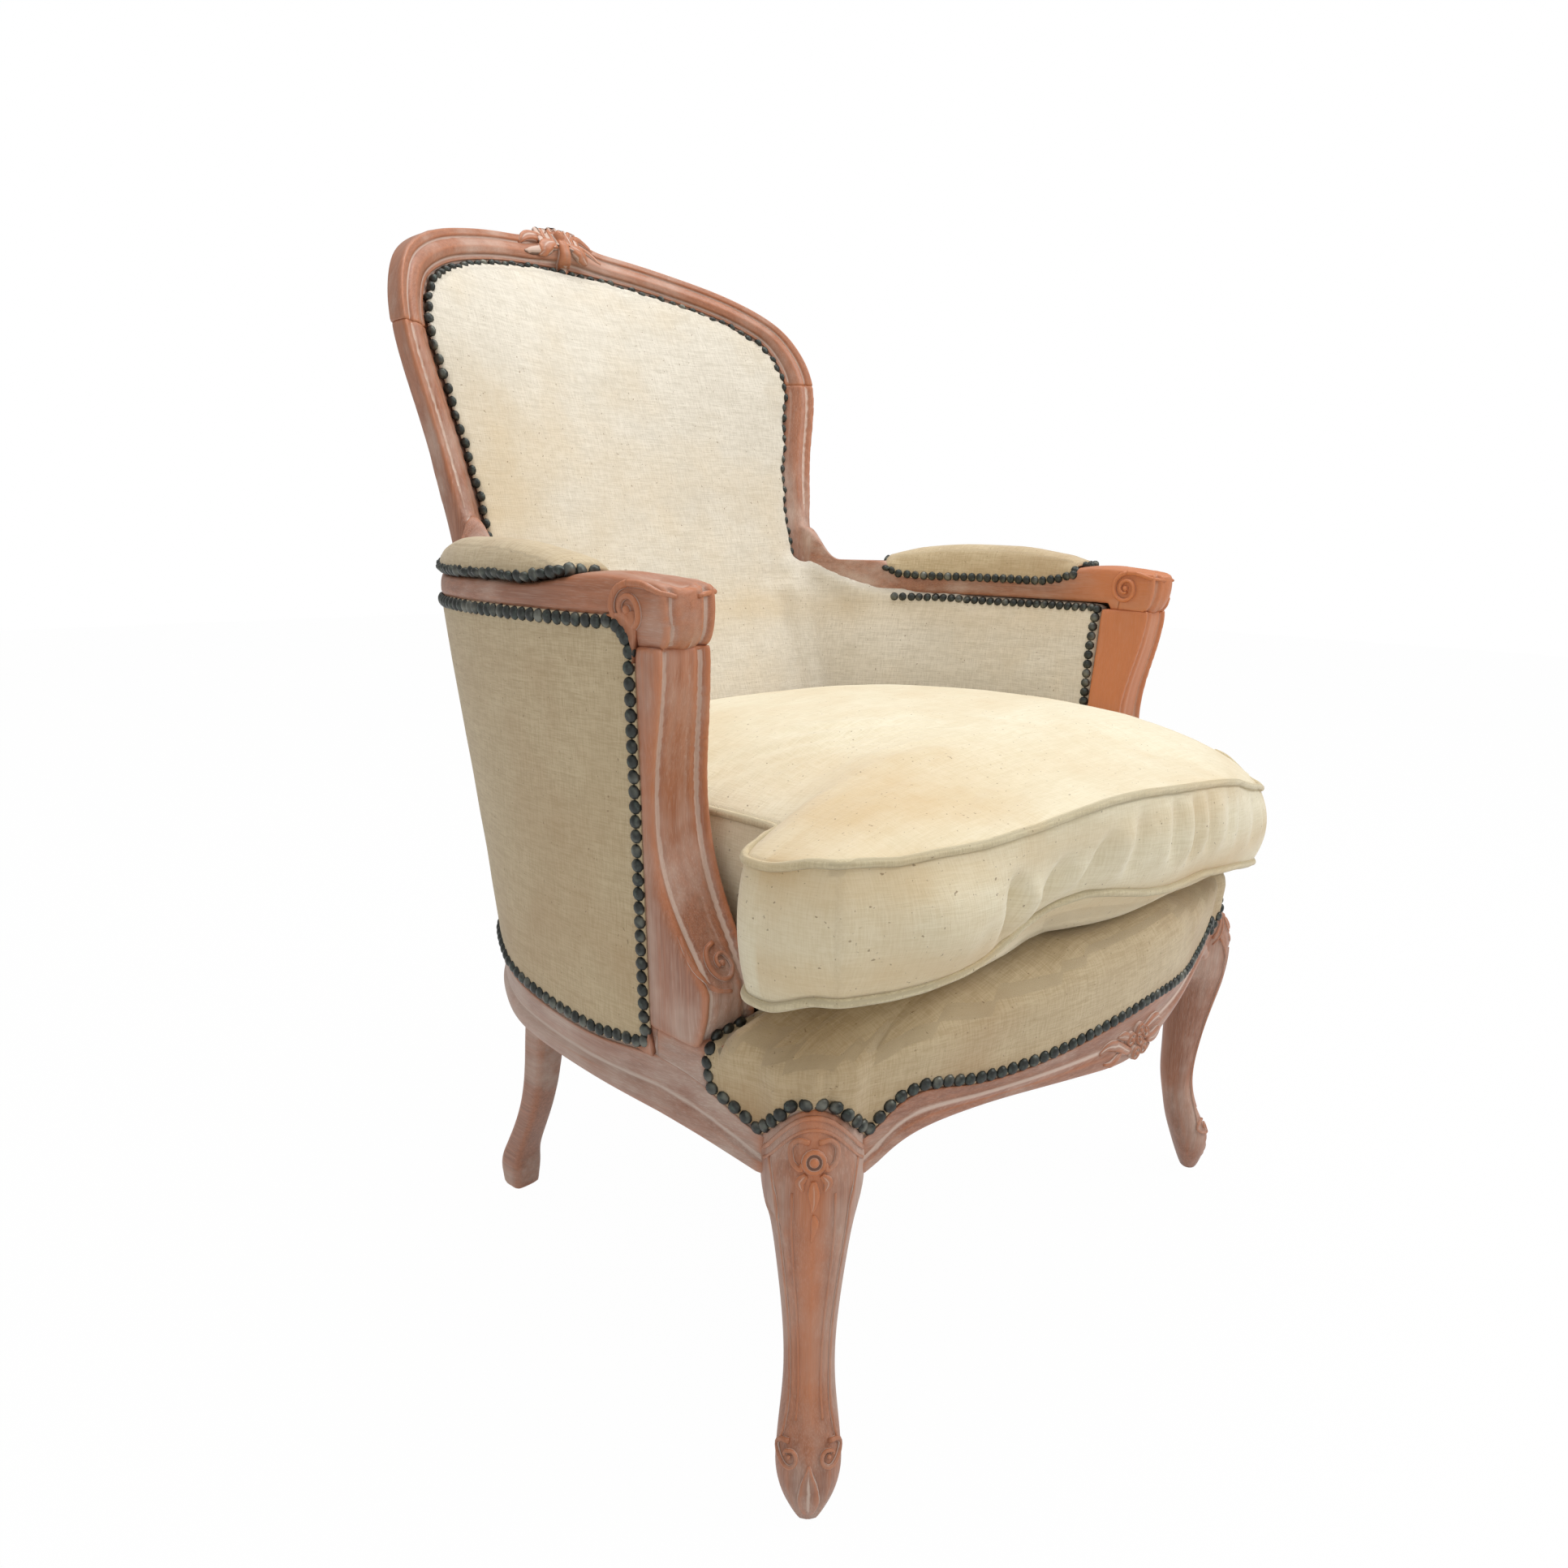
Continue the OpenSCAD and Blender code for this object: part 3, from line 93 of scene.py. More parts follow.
class Shader:
    """A material's node tree, with short methods for the nodes that the finishes use."""

    def __init__(self, name: str) -> None:
        """Starts a material with one Principled surface."""
        self.material = bpy.data.materials.new(name)
        self.material.use_nodes = True
        self.tree = self.material.node_tree
        self.surface = self.tree.nodes["Principled BSDF"]
        self.place = self.node("TexCoord").outputs["Object"]

    def node(self, kind: str, settings: dict | None = None, inputs: dict | None = None) -> bpy.types.Node:
        """Adds a node.

        Args:
            kind: the node's type without its ShaderNode prefix.
            settings: values of the node's own properties.
            inputs: a socket to link or a value to set, for each named or numbered input.

        Returns:
            The new node.
        """
        made = self.tree.nodes.new("ShaderNode" + kind)
        for key, value in (settings or {}).items():
            setattr(made, key, value)
        for key, value in (inputs or {}).items():
            self.put(made.inputs[key], value)
        return made

    def put(self, socket: bpy.types.NodeSocket, value: object) -> None:
        """Links a socket to an output, or sets its value."""
        if isinstance(value, bpy.types.NodeSocket):
            self.tree.links.new(value, socket)
        else:
            socket.default_value = value

    def attribute(self, name: str) -> bpy.types.NodeSocket:
        """A number that the mesh holds at each point."""
        return self.node("Attribute", {"attribute_name": name}).outputs["Fac"]

    def vector(self, name: str) -> bpy.types.NodeSocket:
        """A vector that the mesh holds at each point."""
        return self.node("Attribute", {"attribute_name": name}).outputs["Vector"]

    def stretched(self, place: bpy.types.NodeSocket, scale: Sequence[float]) -> bpy.types.NodeSocket:
        """Coordinates scaled along each axis."""
        return self.node("Mapping", None, {"Vector": place, "Scale": tuple(scale)}).outputs[0]

    def noise(self, place: bpy.types.NodeSocket, scale: float, detail: float = 3.0,
              rough: float = 0.55) -> bpy.types.NodeSocket:
        """Cloudy noise from 0 to 1 on given coordinates."""
        inputs = {"Vector": place, "Scale": scale, "Detail": detail, "Roughness": rough}
        return self.node("TexNoise", None, inputs).outputs[0]

    def fit(self, value: bpy.types.NodeSocket, low: float, high: float, start: float = 0.0,
            end: float = 1.0) -> bpy.types.NodeSocket:
        """A value from low to high spread from start to end, and held there outside."""
        inputs = {"Value": value, "From Min": low, "From Max": high, "To Min": start, "To Max": end}
        return self.node("MapRange", None, inputs).outputs[0]

    def mix(self, share: object, first: object, second: object) -> bpy.types.NodeSocket:
        """Two colours blended by a share."""
        made = self.node("Mix", {"data_type": "RGBA"}, {0: share, 6: first, 7: second})
        return made.outputs[2]

    def maths(self, operation: str, first: object, second: object = 0.0) -> bpy.types.NodeSocket:
        """One arithmetic step on two numbers."""
        made = self.node("Math", {"operation": operation}, {0: first, 1: second})
        return made.outputs[0]

    def bump(self, height: bpy.types.NodeSocket, distance: float, strength: float,
             before: bpy.types.NodeSocket | None = None) -> bpy.types.NodeSocket:
        """A bumped normal, on top of an earlier one if given."""
        inputs = {"Height": height, "Distance": distance, "Strength": strength}
        if before is not None:
            inputs["Normal"] = before
        return self.node("Bump", None, inputs).outputs[0]


@dataclass(frozen=True)
class LimedBeech:
    """Beech washed with lime: reddish wood on the high parts, pale lime in the hollows, painted shade in the
    deepest hollows and a painted highlight where the wood is warmed.
    """

    name: str
    wood: Colour = (174, 120, 94)
    dark: Colour = (126, 82, 62)
    # Colour of wood rubbed bare on the ridges, also used for the painted highlight
    glow: Colour = (204, 124, 76)
    lime: Colour = (216, 194, 180)
    # Colour of the painted shade in the deepest hollows and at the feet of the carvings
    pit: Colour = (84, 54, 40)
    wash: float = 0.62
    roughness: float = 0.5

    def material(self) -> bpy.types.Material:
        """Builds the finish from the attributes grain and hollow."""
        s = Shader(self.name)
        grain = s.vector("grain")
        streak = s.noise(s.stretched(grain, (7, 330, 330)), 1.0, 4.0, 0.6)
        fine = s.noise(s.stretched(grain, (26, 1300, 1300)), 1.0, 2.0, 0.6)
        broad = s.noise(s.stretched(grain, (5, 38, 38)), 1.0, 3.0, 0.6)
        cloud = s.noise(s.place, 9.0, 4.0, 0.62)
        hollow = s.attribute("hollow")
        wood = s.mix(s.fit(streak, 0.3, 0.7, 0.25, 1.0), linear(self.dark), linear(self.wood))
        wood = s.mix(s.fit(broad, 0.42, 0.66, 0.0, 0.45), wood, linear(self.dark))
        worn = s.fit(hollow, -0.02, -0.14)
        # The stored warmth is partly wear and partly a painted highlight; it warms the wood and thins the
        # lime
        warm = s.attribute("warm")
        wood = s.mix(s.maths("MULTIPLY", warm, 0.8), wood, linear(self.glow))
        wood = s.mix(s.maths("MULTIPLY", worn, 0.4), wood, linear(self.glow))
        settled = s.fit(hollow, 0.008, 0.07)
        spread = 0.34 * self.wash
        film = s.fit(s.maths("ADD", s.maths("MULTIPLY", broad, 0.7), cloud), 1.02 - spread, 1.3 - spread)
        lime = s.maths("MAXIMUM", s.maths("MULTIPLY", settled, 0.85), s.maths("MULTIPLY", film, 0.62))
        lime = s.maths("ADD", lime, s.fit(fine, 0.48, 0.74, 0.0, 0.16 + 0.14 * self.wash))
        lime_kept = s.maths("MULTIPLY", s.fit(worn, 0.0, 1.0, 1.0, 0.45), s.fit(warm, 0.0, 1.0, 1.0, 0.3))
        lime = s.maths("MINIMUM", s.maths("MULTIPLY", lime, lime_kept), 0.9)
        colour = s.mix(lime, wood, linear(self.lime))
        # Painted shade in the deepest hollows and at the feet of the carvings
        pit = s.fit(hollow, 0.2, 0.42)
        s.put(s.surface.inputs["Base Color"], s.mix(s.maths("MULTIPLY", pit, 0.7), colour, linear(self.pit)))
        rough = s.fit(lime, 0.0, 1.0, self.roughness - 0.06, self.roughness + 0.2)
        s.put(s.surface.inputs["Roughness"], rough)
        first = s.bump(streak, 0.3 * MM, 0.2)
        s.put(s.surface.inputs["Normal"], s.bump(fine, 0.2 * MM, 0.3, first))
        return s.material


@dataclass(frozen=True)
class RawBeech:
    """Unfinished timber inside the seat."""

    name: str
    wood: Colour = (206, 172, 128)
    dark: Colour = (170, 128, 86)

    def material(self) -> bpy.types.Material:
        """Builds the plain timber with its grain and pores."""
        s = Shader(self.name)
        streak = s.noise(s.stretched(s.place, (8, 60, 60)), 1.0, 5.0, 0.6)
        pore = s.noise(s.stretched(s.place, (60, 900, 900)), 1.0, 2.0)
        wood = s.mix(s.fit(streak, 0.35, 0.65), linear(self.dark), linear(self.wood))
        s.put(s.surface.inputs["Base Color"], s.mix(s.fit(pore, 0.62, 0.7, 0, 0.5), wood, linear(self.dark)))
        s.put(s.surface.inputs["Roughness"], 0.72)
        s.put(s.surface.inputs["Normal"], s.bump(pore, 0.3 * MM, 0.4))
        return s.material


@dataclass(frozen=True)
class Linen:
    """Slubby unbleached linen with soft stains, dark flecks and the painted shade that each piece stores."""

    name: str
    pale: Colour = (236, 228, 206)
    mid: Colour = (214, 202, 174)
    stain: Colour = (206, 172, 118)
    fleck: Colour = (130, 104, 74)
    # How strong the cloud of stains is; the painted shade comes only from each piece's stored amount
    soil: float = 0.4
    thread: float = 0.95 * MM
    slub: float = 11 * MM

    def material(self) -> bpy.types.Material:
        """Builds the weave from its warp and weft, on the attribute cloth."""
        s = Shader(self.name)
        across, along = 1 / self.thread, 1 / self.slub
        flat = s.vector("cloth")
        warp = s.noise(s.stretched(flat, (across, along, 1)), 1.0, 2.0, 0.5)
        weft = s.noise(s.stretched(flat, (along, across, 1)), 1.0, 2.0, 0.5)
        slubs = s.noise(s.stretched(flat, (0.3 * along, 0.25 * across, 1)), 1.0, 1.0, 0.5)
        weave = s.maths("ADD", s.maths("ADD", warp, weft), s.maths("MULTIPLY", slubs, 0.5))
        cloud = s.noise(s.place, 6.5, 4.0, 0.62)
        patch = s.noise(s.place, 21.0, 3.0, 0.6)
        cloth = s.mix(s.fit(weave, 1.02, 1.46), linear(self.mid), linear(self.pale))
        cloth = s.mix(s.fit(patch, 0.4, 0.7, 0, 0.35), cloth, linear(self.mid))
        stain_and_shade_share = s.maths("MULTIPLY", s.fit(cloud, 0.46, 0.72), self.soil)
        # Each piece's stored amount holds real stains and painted shade alike, and both take the stain colour
        stain_and_shade_share = s.maths("ADD", stain_and_shade_share, s.maths("MULTIPLY", s.attribute("soil"), 0.8))
        cloth = s.mix(s.maths("MINIMUM", stain_and_shade_share, 0.85), cloth, linear(self.stain))
        speck = s.fit(s.noise(s.place, 330.0, 1.0), 0.72, 0.78, 0, 0.65)
        s.put(s.surface.inputs["Base Color"], s.mix(speck, cloth, linear(self.fleck)))
        s.put(s.surface.inputs["Roughness"], 0.88)
        s.put(s.surface.inputs["Specular IOR Level"], 0.25)
        s.put(s.surface.inputs["Sheen Weight"], 0.25)
        s.put(s.surface.inputs["Sheen Roughness"], 0.55)
        s.put(s.surface.inputs["Normal"], s.bump(weave, 0.5 * MM, 0.5))
        return s.material


@dataclass(frozen=True)
class OldBrass:
    """Blackened brass of the nail heads, rubbed and a little green."""

    name: str
    dark: Colour = (60, 62, 60)
    rubbed: Colour = (136, 136, 126)
    green: Colour = (84, 94, 88)

    def material(self) -> bpy.types.Material:
        """Builds the metal with rubbed crowns and verdigris."""
        s = Shader(self.name)
        fine = s.noise(s.place, 240.0, 3.0)
        cloud = s.noise(s.place, 60.0, 2.0)
        metal = s.mix(s.fit(fine, 0.5, 0.75), linear(self.dark), linear(self.green))
        metal = s.mix(s.fit(cloud, 0.52, 0.72, 0, 0.7), metal, linear(self.rubbed))
        s.put(s.surface.inputs["Base Color"], metal)
        s.put(s.surface.inputs["Metallic"], 0.75)
        s.put(s.surface.inputs["Roughness"], s.fit(fine, 0.3, 0.8, 0.34, 0.6))
        s.put(s.surface.inputs["Normal"], s.bump(fine, 0.2 * MM, 0.4))
        return s.material


@dataclass(frozen=True)
class Woven:
    """Coarse plain weave, for webbing, hessian and dust cloth."""

    name: str
    pale: Colour = (176, 144, 98)
    dark: Colour = (128, 98, 62)
    thread: float = 2.2 * MM

    def material(self) -> bpy.types.Material:
        """Builds the open weave from two crossing sets of waves."""
        s = Shader(self.name)
        bands = []
        for axis in ("X", "Y"):
            settings = {"wave_type": "BANDS", "bands_direction": axis}
            inputs = {"Vector": s.place, "Scale": math.tau / (20 * self.thread), "Distortion": 0.4}
            bands.append(s.node("TexWave", settings, inputs).outputs["Fac"])
        weave = s.maths("MULTIPLY", bands[0], bands[1])
        shade = s.maths("ADD", s.maths("MULTIPLY", weave, 0.6), s.noise(s.place, 160.0, 2.0))
        colour = s.mix(s.fit(shade, 0.35, 1.0), linear(self.dark), linear(self.pale))
        s.put(s.surface.inputs["Base Color"], colour)
        s.put(s.surface.inputs["Roughness"], 0.9)
        s.put(s.surface.inputs["Normal"], s.bump(weave, 0.6 * MM, 0.6))
        return s.material


@dataclass(frozen=True)
class Steel:
    """Drawn steel of springs and screws, dulled by age."""

    name: str
    metal: Colour = (128, 126, 122)
    rust: Colour = (112, 78, 56)

    def material(self) -> bpy.types.Material:
        """Builds the wire with drawn streaks and a little rust."""
        s = Shader(self.name)
        spots = s.noise(s.place, 180.0, 4.0)
        colour = s.mix(s.fit(spots, 0.55, 0.7), linear(self.metal), linear(self.rust))
        s.put(s.surface.inputs["Base Color"], colour)
        s.put(s.surface.inputs["Metallic"], 0.9)
        s.put(s.surface.inputs["Roughness"], s.fit(spots, 0.4, 0.7, 0.35, 0.7))
        s.put(s.surface.inputs["Normal"], s.bump(spots, 0.2 * MM, 0.3))
        return s.material


class Finishes:
    """Every finish of the chair, built once."""

    def __init__(self) -> None:
        """Builds the materials."""
        self.frame = LimedBeech("limed_beech").material()
        self.washed = LimedBeech("limed_beech_washed", wood=(170, 124, 104), lime=(206, 188, 176),
                                 wash=1.0).material()
        self.raw = RawBeech("raw_beech").material()
        self.cushion = Linen("cushion_linen", pale=(236, 227, 201), mid=(225, 214, 184), soil=0.4).material()
        self.piping = Linen("piping_linen", pale=(216, 204, 172), mid=(196, 182, 148), soil=0.5).material()
        self.inner = Linen("inner_linen", pale=(229, 222, 208), mid=(208, 200, 184), stain=(212, 186, 140),
                           soil=0.3).material()
        self.outer = Linen("outer_linen", pale=(206, 188, 154), mid=(186, 165, 130), stain=(172, 138, 98),
                           soil=0.5).material()
        self.nails = OldBrass("nail_brass").material()
        self.webbing = Woven("jute_webbing").material()
        self.hessian = Woven("hessian", thread=1.6 * MM).material()
        self.dust = Woven("dust_cloth", pale=(62, 58, 54), dark=(34, 32, 30), thread=0.9 * MM).material()
        self.steel = Steel("spring_steel").material()


def copied(nodes: Iterable[str]) -> bmesh.types.BMesh:
    """Copies CAD nodes into one bmesh with their points merged and their triangles paired.

    Args:
        nodes: the names of the nodes.

    Returns:
        The merged bmesh.
    """
    made = bmesh.new()
    for node in nodes:
        made.from_mesh(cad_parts[node].data)
    bmesh.ops.remove_doubles(made, verts=made.verts, dist=0.02 * MM)
    bmesh.ops.join_triangles(made, faces=made.faces, angle_face_threshold=math.radians(38),
                             angle_shape_threshold=math.radians(60))
    return made


def solid_of(*nodes: str) -> BVHTree:
    """The surface of CAD nodes, for casting rays at it."""
    bm = copied(nodes)
    tree = BVHTree.FromBMesh(bm)
    bm.free()
    return tree


def added(bm: bmesh.types.BMesh, name: str, material: bpy.types.Material,
          smooth: bool = True) -> bpy.types.Object:
    """Turns a bmesh into an object at the origin.

    Args:
        bm: the finished bmesh, which is freed.
        name: the piece's name.
        material: its finish.
        smooth: whether its faces are shaded smooth.

    Returns:
        The new object, linked to the scene.
    """
    bmesh.ops.recalc_face_normals(bm, faces=bm.faces)
    mesh = bpy.data.meshes.new(name)
    bm.to_mesh(mesh)
    bm.free()
    mesh.shade_smooth() if smooth else mesh.shade_flat()
    piece = bpy.data.objects.new(name, mesh)
    bpy.context.scene.collection.objects.link(piece)
    piece.data.materials.append(material)
    return piece


def settle(piece: bpy.types.Object) -> None:
    """Applies a piece's modifiers, so that its mesh is what shows."""
    graph = bpy.context.evaluated_depsgraph_get()
    mesh = bpy.data.meshes.new_from_object(piece.evaluated_get(graph), depsgraph=graph)
    old = piece.data
    piece.modifiers.clear()
    piece.data = mesh
    mesh.name = piece.name
    bpy.data.meshes.remove(old)


def creased(bm: bmesh.types.BMesh, bend: float, crease: float) -> None:
    """Creases the edges where two faces bend more than an angle."""
    layer = bm.edges.layers.float.get("crease_edge") or bm.edges.layers.float.new("crease_edge")
    for edge in bm.edges:
        if len(edge.link_faces) == 2 and edge.calc_face_angle(0.0) > bend:
            edge[layer] = crease


def subdivided(piece: bpy.types.Object, levels: int) -> None:
    """Rounds a piece by Catmull-Clark subdivision and keeps the result."""
    modifier = piece.modifiers.new("rounding", "SUBSURF")
    modifier.levels = levels
    modifier.render_levels = levels
    settle(piece)


def remeshed(piece: bpy.types.Object, voxel: float) -> None:
    """Gives a piece an even skin of small faces and joins shells that touch."""
    modifier = piece.modifiers.new("skin", "REMESH")
    modifier.mode = "VOXEL"
    modifier.voxel_size = voxel
    modifier.use_smooth_shade = True
    settle(piece)


def points_of(mesh: bpy.types.Mesh) -> np.ndarray:
    """A mesh's points as rows of X, Y and Z."""
    co = np.empty(len(mesh.vertices) * 3, np.float64)
    mesh.vertices.foreach_get("co", co)
    return co.reshape(-1, 3)


def normals_of(mesh: bpy.types.Mesh) -> np.ndarray:
    """A mesh's point normals as rows of X, Y and Z."""
    normals = np.empty(len(mesh.vertices) * 3, np.float32)
    mesh.vertex_normals.foreach_get("vector", normals)
    return normals.reshape(-1, 3).astype(np.float64)


def move_points(mesh: bpy.types.Mesh, points: np.ndarray) -> None:
    """Sets a mesh's points from rows of X, Y and Z."""
    mesh.vertices.foreach_set("co", points.astype(np.float32).ravel())
    mesh.update()


def edges_of(mesh: bpy.types.Mesh) -> np.ndarray:
    """A mesh's edges as rows of two point numbers."""
    pairs = np.empty(len(mesh.edges) * 2, np.int32)
    mesh.edges.foreach_get("vertices", pairs)
    return pairs.reshape(-1, 2)


def gathered(values: np.ndarray, pairs: np.ndarray, others: np.ndarray) -> np.ndarray:
    """Sums, at each point, the values brought to it along its edges."""
    n = len(values)
    if values.ndim == 1:
        return np.bincount(pairs[:, 0], others[:, 0], n) + np.bincount(pairs[:, 1], others[:, 1], n)
    return np.stack([gathered(values[:, k], pairs, others[:, :, k]) for k in range(values.shape[1])], 1)


def averaged(values: np.ndarray, pairs: np.ndarray, passes: int) -> np.ndarray:
    """Values at points, evened out over their neighbours a number of times."""
    count = np.bincount(pairs.ravel(), minlength=len(values)).clip(1)
    shape = count if values.ndim == 1 else count[:, None]
    for _ in range(passes):
        values = 0.5 * values + 0.5 * gathered(values, pairs, values[pairs[:, ::-1]]) / shape
    return values


def humps(values: np.ndarray, middle: float, width: float) -> np.ndarray:
    """Smooth humps of height 1, where values are near the middle."""
    return np.exp(-((values - middle) / width) ** 2)


def store(mesh: bpy.types.Mesh, name: str, values: np.ndarray) -> None:
    """Stores one number or one vector at each point of a mesh."""
    kind = "FLOAT" if values.ndim == 1 else "FLOAT_VECTOR"
    layer = mesh.attributes.get(name) or mesh.attributes.new(name, kind, "POINT")
    layer.data.foreach_set("value" if values.ndim == 1 else "vector", values.astype(np.float32).ravel())


def hollows(mesh: bpy.types.Mesh) -> np.ndarray:
    """How hollow the surface is at each point: positive in grooves, negative on ridges."""
    co, normals, pairs = points_of(mesh), normals_of(mesh), edges_of(mesh)
    step = co[pairs[:, 1]] - co[pairs[:, 0]]
    step /= np.linalg.norm(step, axis=1).clip(1e-9)[:, None]
    slopes = np.stack([(step * normals[pairs[:, 0]]).sum(1), -(step * normals[pairs[:, 1]]).sum(1)], 1)
    total = gathered(np.zeros(len(co)), pairs, slopes)
    count = np.bincount(pairs.ravel(), minlength=len(co)).clip(1)
    return averaged(total / count, pairs, 2)


def warmth(co: np.ndarray) -> np.ndarray:
    """How far each point is warmed, partly by wear and partly by a painted highlight: most on the front of
    the right arm end, a third as much on the left, and some on the knees and the top of the crest.
    """
    x, y, z = co.T * 1000
    arm_end = np.clip((-y - 95) / 70, 0, 1) * np.clip((z - 400) / 120, 0, 1)
    right = arm_end * (x > 0) * 1.0
    left = arm_end * (x < 0) * 0.35
    along = (np.abs(x) - 298 + y + 318) * 0.7071
    knee = 0.8 * np.exp(-(along / 11) ** 2) * (y < -280) * np.clip((z - 40) / 60, 0, 1) * (z < 330)
    crest = 0.25 * np.clip((z - 700) / 100, 0, 1)
    return np.maximum.reduce([right, left, knee, crest])


def dress_wood(piece: bpy.types.Object, grain: Grain, arch_centre: float = 0.72) -> None:
    """Stores the grain's direction, the hollows and the warmth (wear with a painted highlight) that the wood
    finish reads.
    """
    co = points_of(piece.data)
    if grain is Grain.ARCH:
        x, z = co[:, 0], co[:, 2] - arch_centre
        radius = np.hypot(x, z)
        rows = np.stack([np.arctan2(x, z) * 0.28, radius, co[:, 1]], 1)
    else:
        rows = np.roll(co, -grain.value, axis=1)
    store(piece.data, "grain", rows)
    hollow = hollows(piece.data)
    # The painted shade at a carving's feet also deepens its hollow, so lime settles there as well
    if "pit" in piece.data.attributes:
        pit = np.empty(len(hollow), np.float32)
        piece.data.attributes["pit"].data.foreach_get("value", pit)
        hollow += pit
    store(piece.data, "hollow", hollow)
    # Warmth: wear together with a painted highlight on the right arm end and the crest's top
    store(piece.data, "warm", warmth(co))


def dress_cloth(piece: bpy.types.Object) -> None:
    """Stores where each point lies on the flat cloth, by the way that it faces."""
    mesh = piece.data
    co = points_of(mesh)
    axis = np.abs(averaged(normals_of(mesh), edges_of(mesh), 6)).argmax(1)[:, None]
    store(mesh, "cloth", np.where(axis == 0, co[:, [1, 2, 0]], np.where(axis == 1, co[:, [0, 2, 1]], co)))


def surface_of(piece: bpy.types.Object) -> BVHTree:
    """A piece's surface, for finding the nearest place on it."""
    bm = bmesh.new()
    bm.from_mesh(piece.data)
    tree = BVHTree.FromBMesh(bm)
    bm.free()
    return tree


@dataclass
class Rim:
    """Points along the edge of a face of a solid, each with its normal and the way in."""

    points: list[Vector] = field(default_factory=list)
    normals: list[Vector] = field(default_factory=list)
    inward: list[Vector] = field(default_factory=list)
    closed: bool = True


def face_patch(bm: bmesh.types.BMesh, toward: Vector, bend: float) -> set:
    """The faces on the side of a solid that looks toward a direction.

    Args:
        bm: the solid.
        toward: the direction that the side looks to.
        bend: the least angle between two faces that ends the side.

    Returns:
        The faces of that side.
    """
    start = max(bm.faces, key=lambda f: f.normal.dot(toward) * math.sqrt(f.calc_area()))
    found, queue = {start}, [start]
    while queue:
        face = queue.pop()
        for edge in face.edges:
            for other in edge.link_faces:
                if other not in found and face.normal.angle(other.normal, 0.0) < bend:
                    found.add(other)
                    queue.append(other)
    return found


def rim_of(faces: set) -> Rim:
    """The longest closed edge of a patch of faces."""
    edges = {e for f in faces for e in f.edges}
    border = {e for e in edges if sum(g in faces for g in e.link_faces) == 1}
    loops = []
    while border:
        edge = border.pop()
        chain = [edge.verts[0], edge.verts[1]]
        while chain[-1] is not chain[0]:
            step = next((e for e in chain[-1].link_edges if e in border), None)
            if step is None:
                break
            border.discard(step)
            chain.append(step.other_vert(chain[-1]))
        loops.append(chain[:-1])
    chain = max(loops, key=lambda c: sum((a.co - b.co).length for a, b in zip(c, c[1:])))
    # The set has no order, so the start and the way round come from the places of the points
    first = min(range(len(chain)), key=lambda i: chain[i].co[:])
    chain = chain[first:] + chain[:first]
    if chain[1].co[:] < chain[-1].co[:]:
        chain = chain[:1] + chain[:0:-1]
    rim = Rim()
    for i, vert in enumerate(chain):
        tangent = (chain[(i + 1) % len(chain)].co - chain[i - 1].co).normalized()
        near = [f for f in vert.link_faces if f in faces]
        normal = sum((f.normal for f in near), Vector()).normalized()
        middle = sum((f.calc_center_median() for f in near), Vector()) / len(near)
        way = normal.cross(tangent).normalized()
        rim.points.append(vert.co.copy())
        rim.normals.append(normal)
        rim.inward.append(way if way.dot(middle - vert.co) > 0 else -way)
    return rim


def spaced(rim: Rim, pitch: float, inset: float, keep: Keep) -> list[tuple[Vector, Vector]]:
    """Even places along the kept runs of a rim.

    Args:
        rim: the rim to follow.
        pitch: the distance between places.
        inset: how far inside the rim they lie.
        keep: says which points of the rim count.

    Returns:
        For each place, its point and its normal.
    """
    n = len(rim.points)
    line = [(rim.points[i] + rim.inward[i] * inset, rim.normals[i], keep(rim.points[i])) for i in range(n)]
    start = next((i for i in range(n) if not line[i][2]), 0)
    line = line[start:] + line[:start] + [line[start]]
    runs, run = [], []
    for point, normal, kept in line:
        if kept:
            run.append((point, normal))
        elif run:
            runs.append(run)
            run = []
    if run:
        runs.append(run)
    places = []
    for run in runs:
        lengths = [(b[0] - a[0]).length for a, b in zip(run, run[1:])]
        total = sum(lengths)
        if total < pitch:
            continue
        count = round(total / pitch)
        travelled, k = 0.0, 0
        for i in range(count + 1):
            goal = total * i / count
            while k < len(lengths) - 1 and travelled + lengths[k] < goal:
                travelled += lengths[k]
                k += 1
            t = min(1.0, (goal - travelled) / max(lengths[k], 1e-9))
            (a, na), (b, nb) = run[k], run[k + 1]
            places.append((a.lerp(b, t), na.lerp(nb, t).normalized()))
    return places


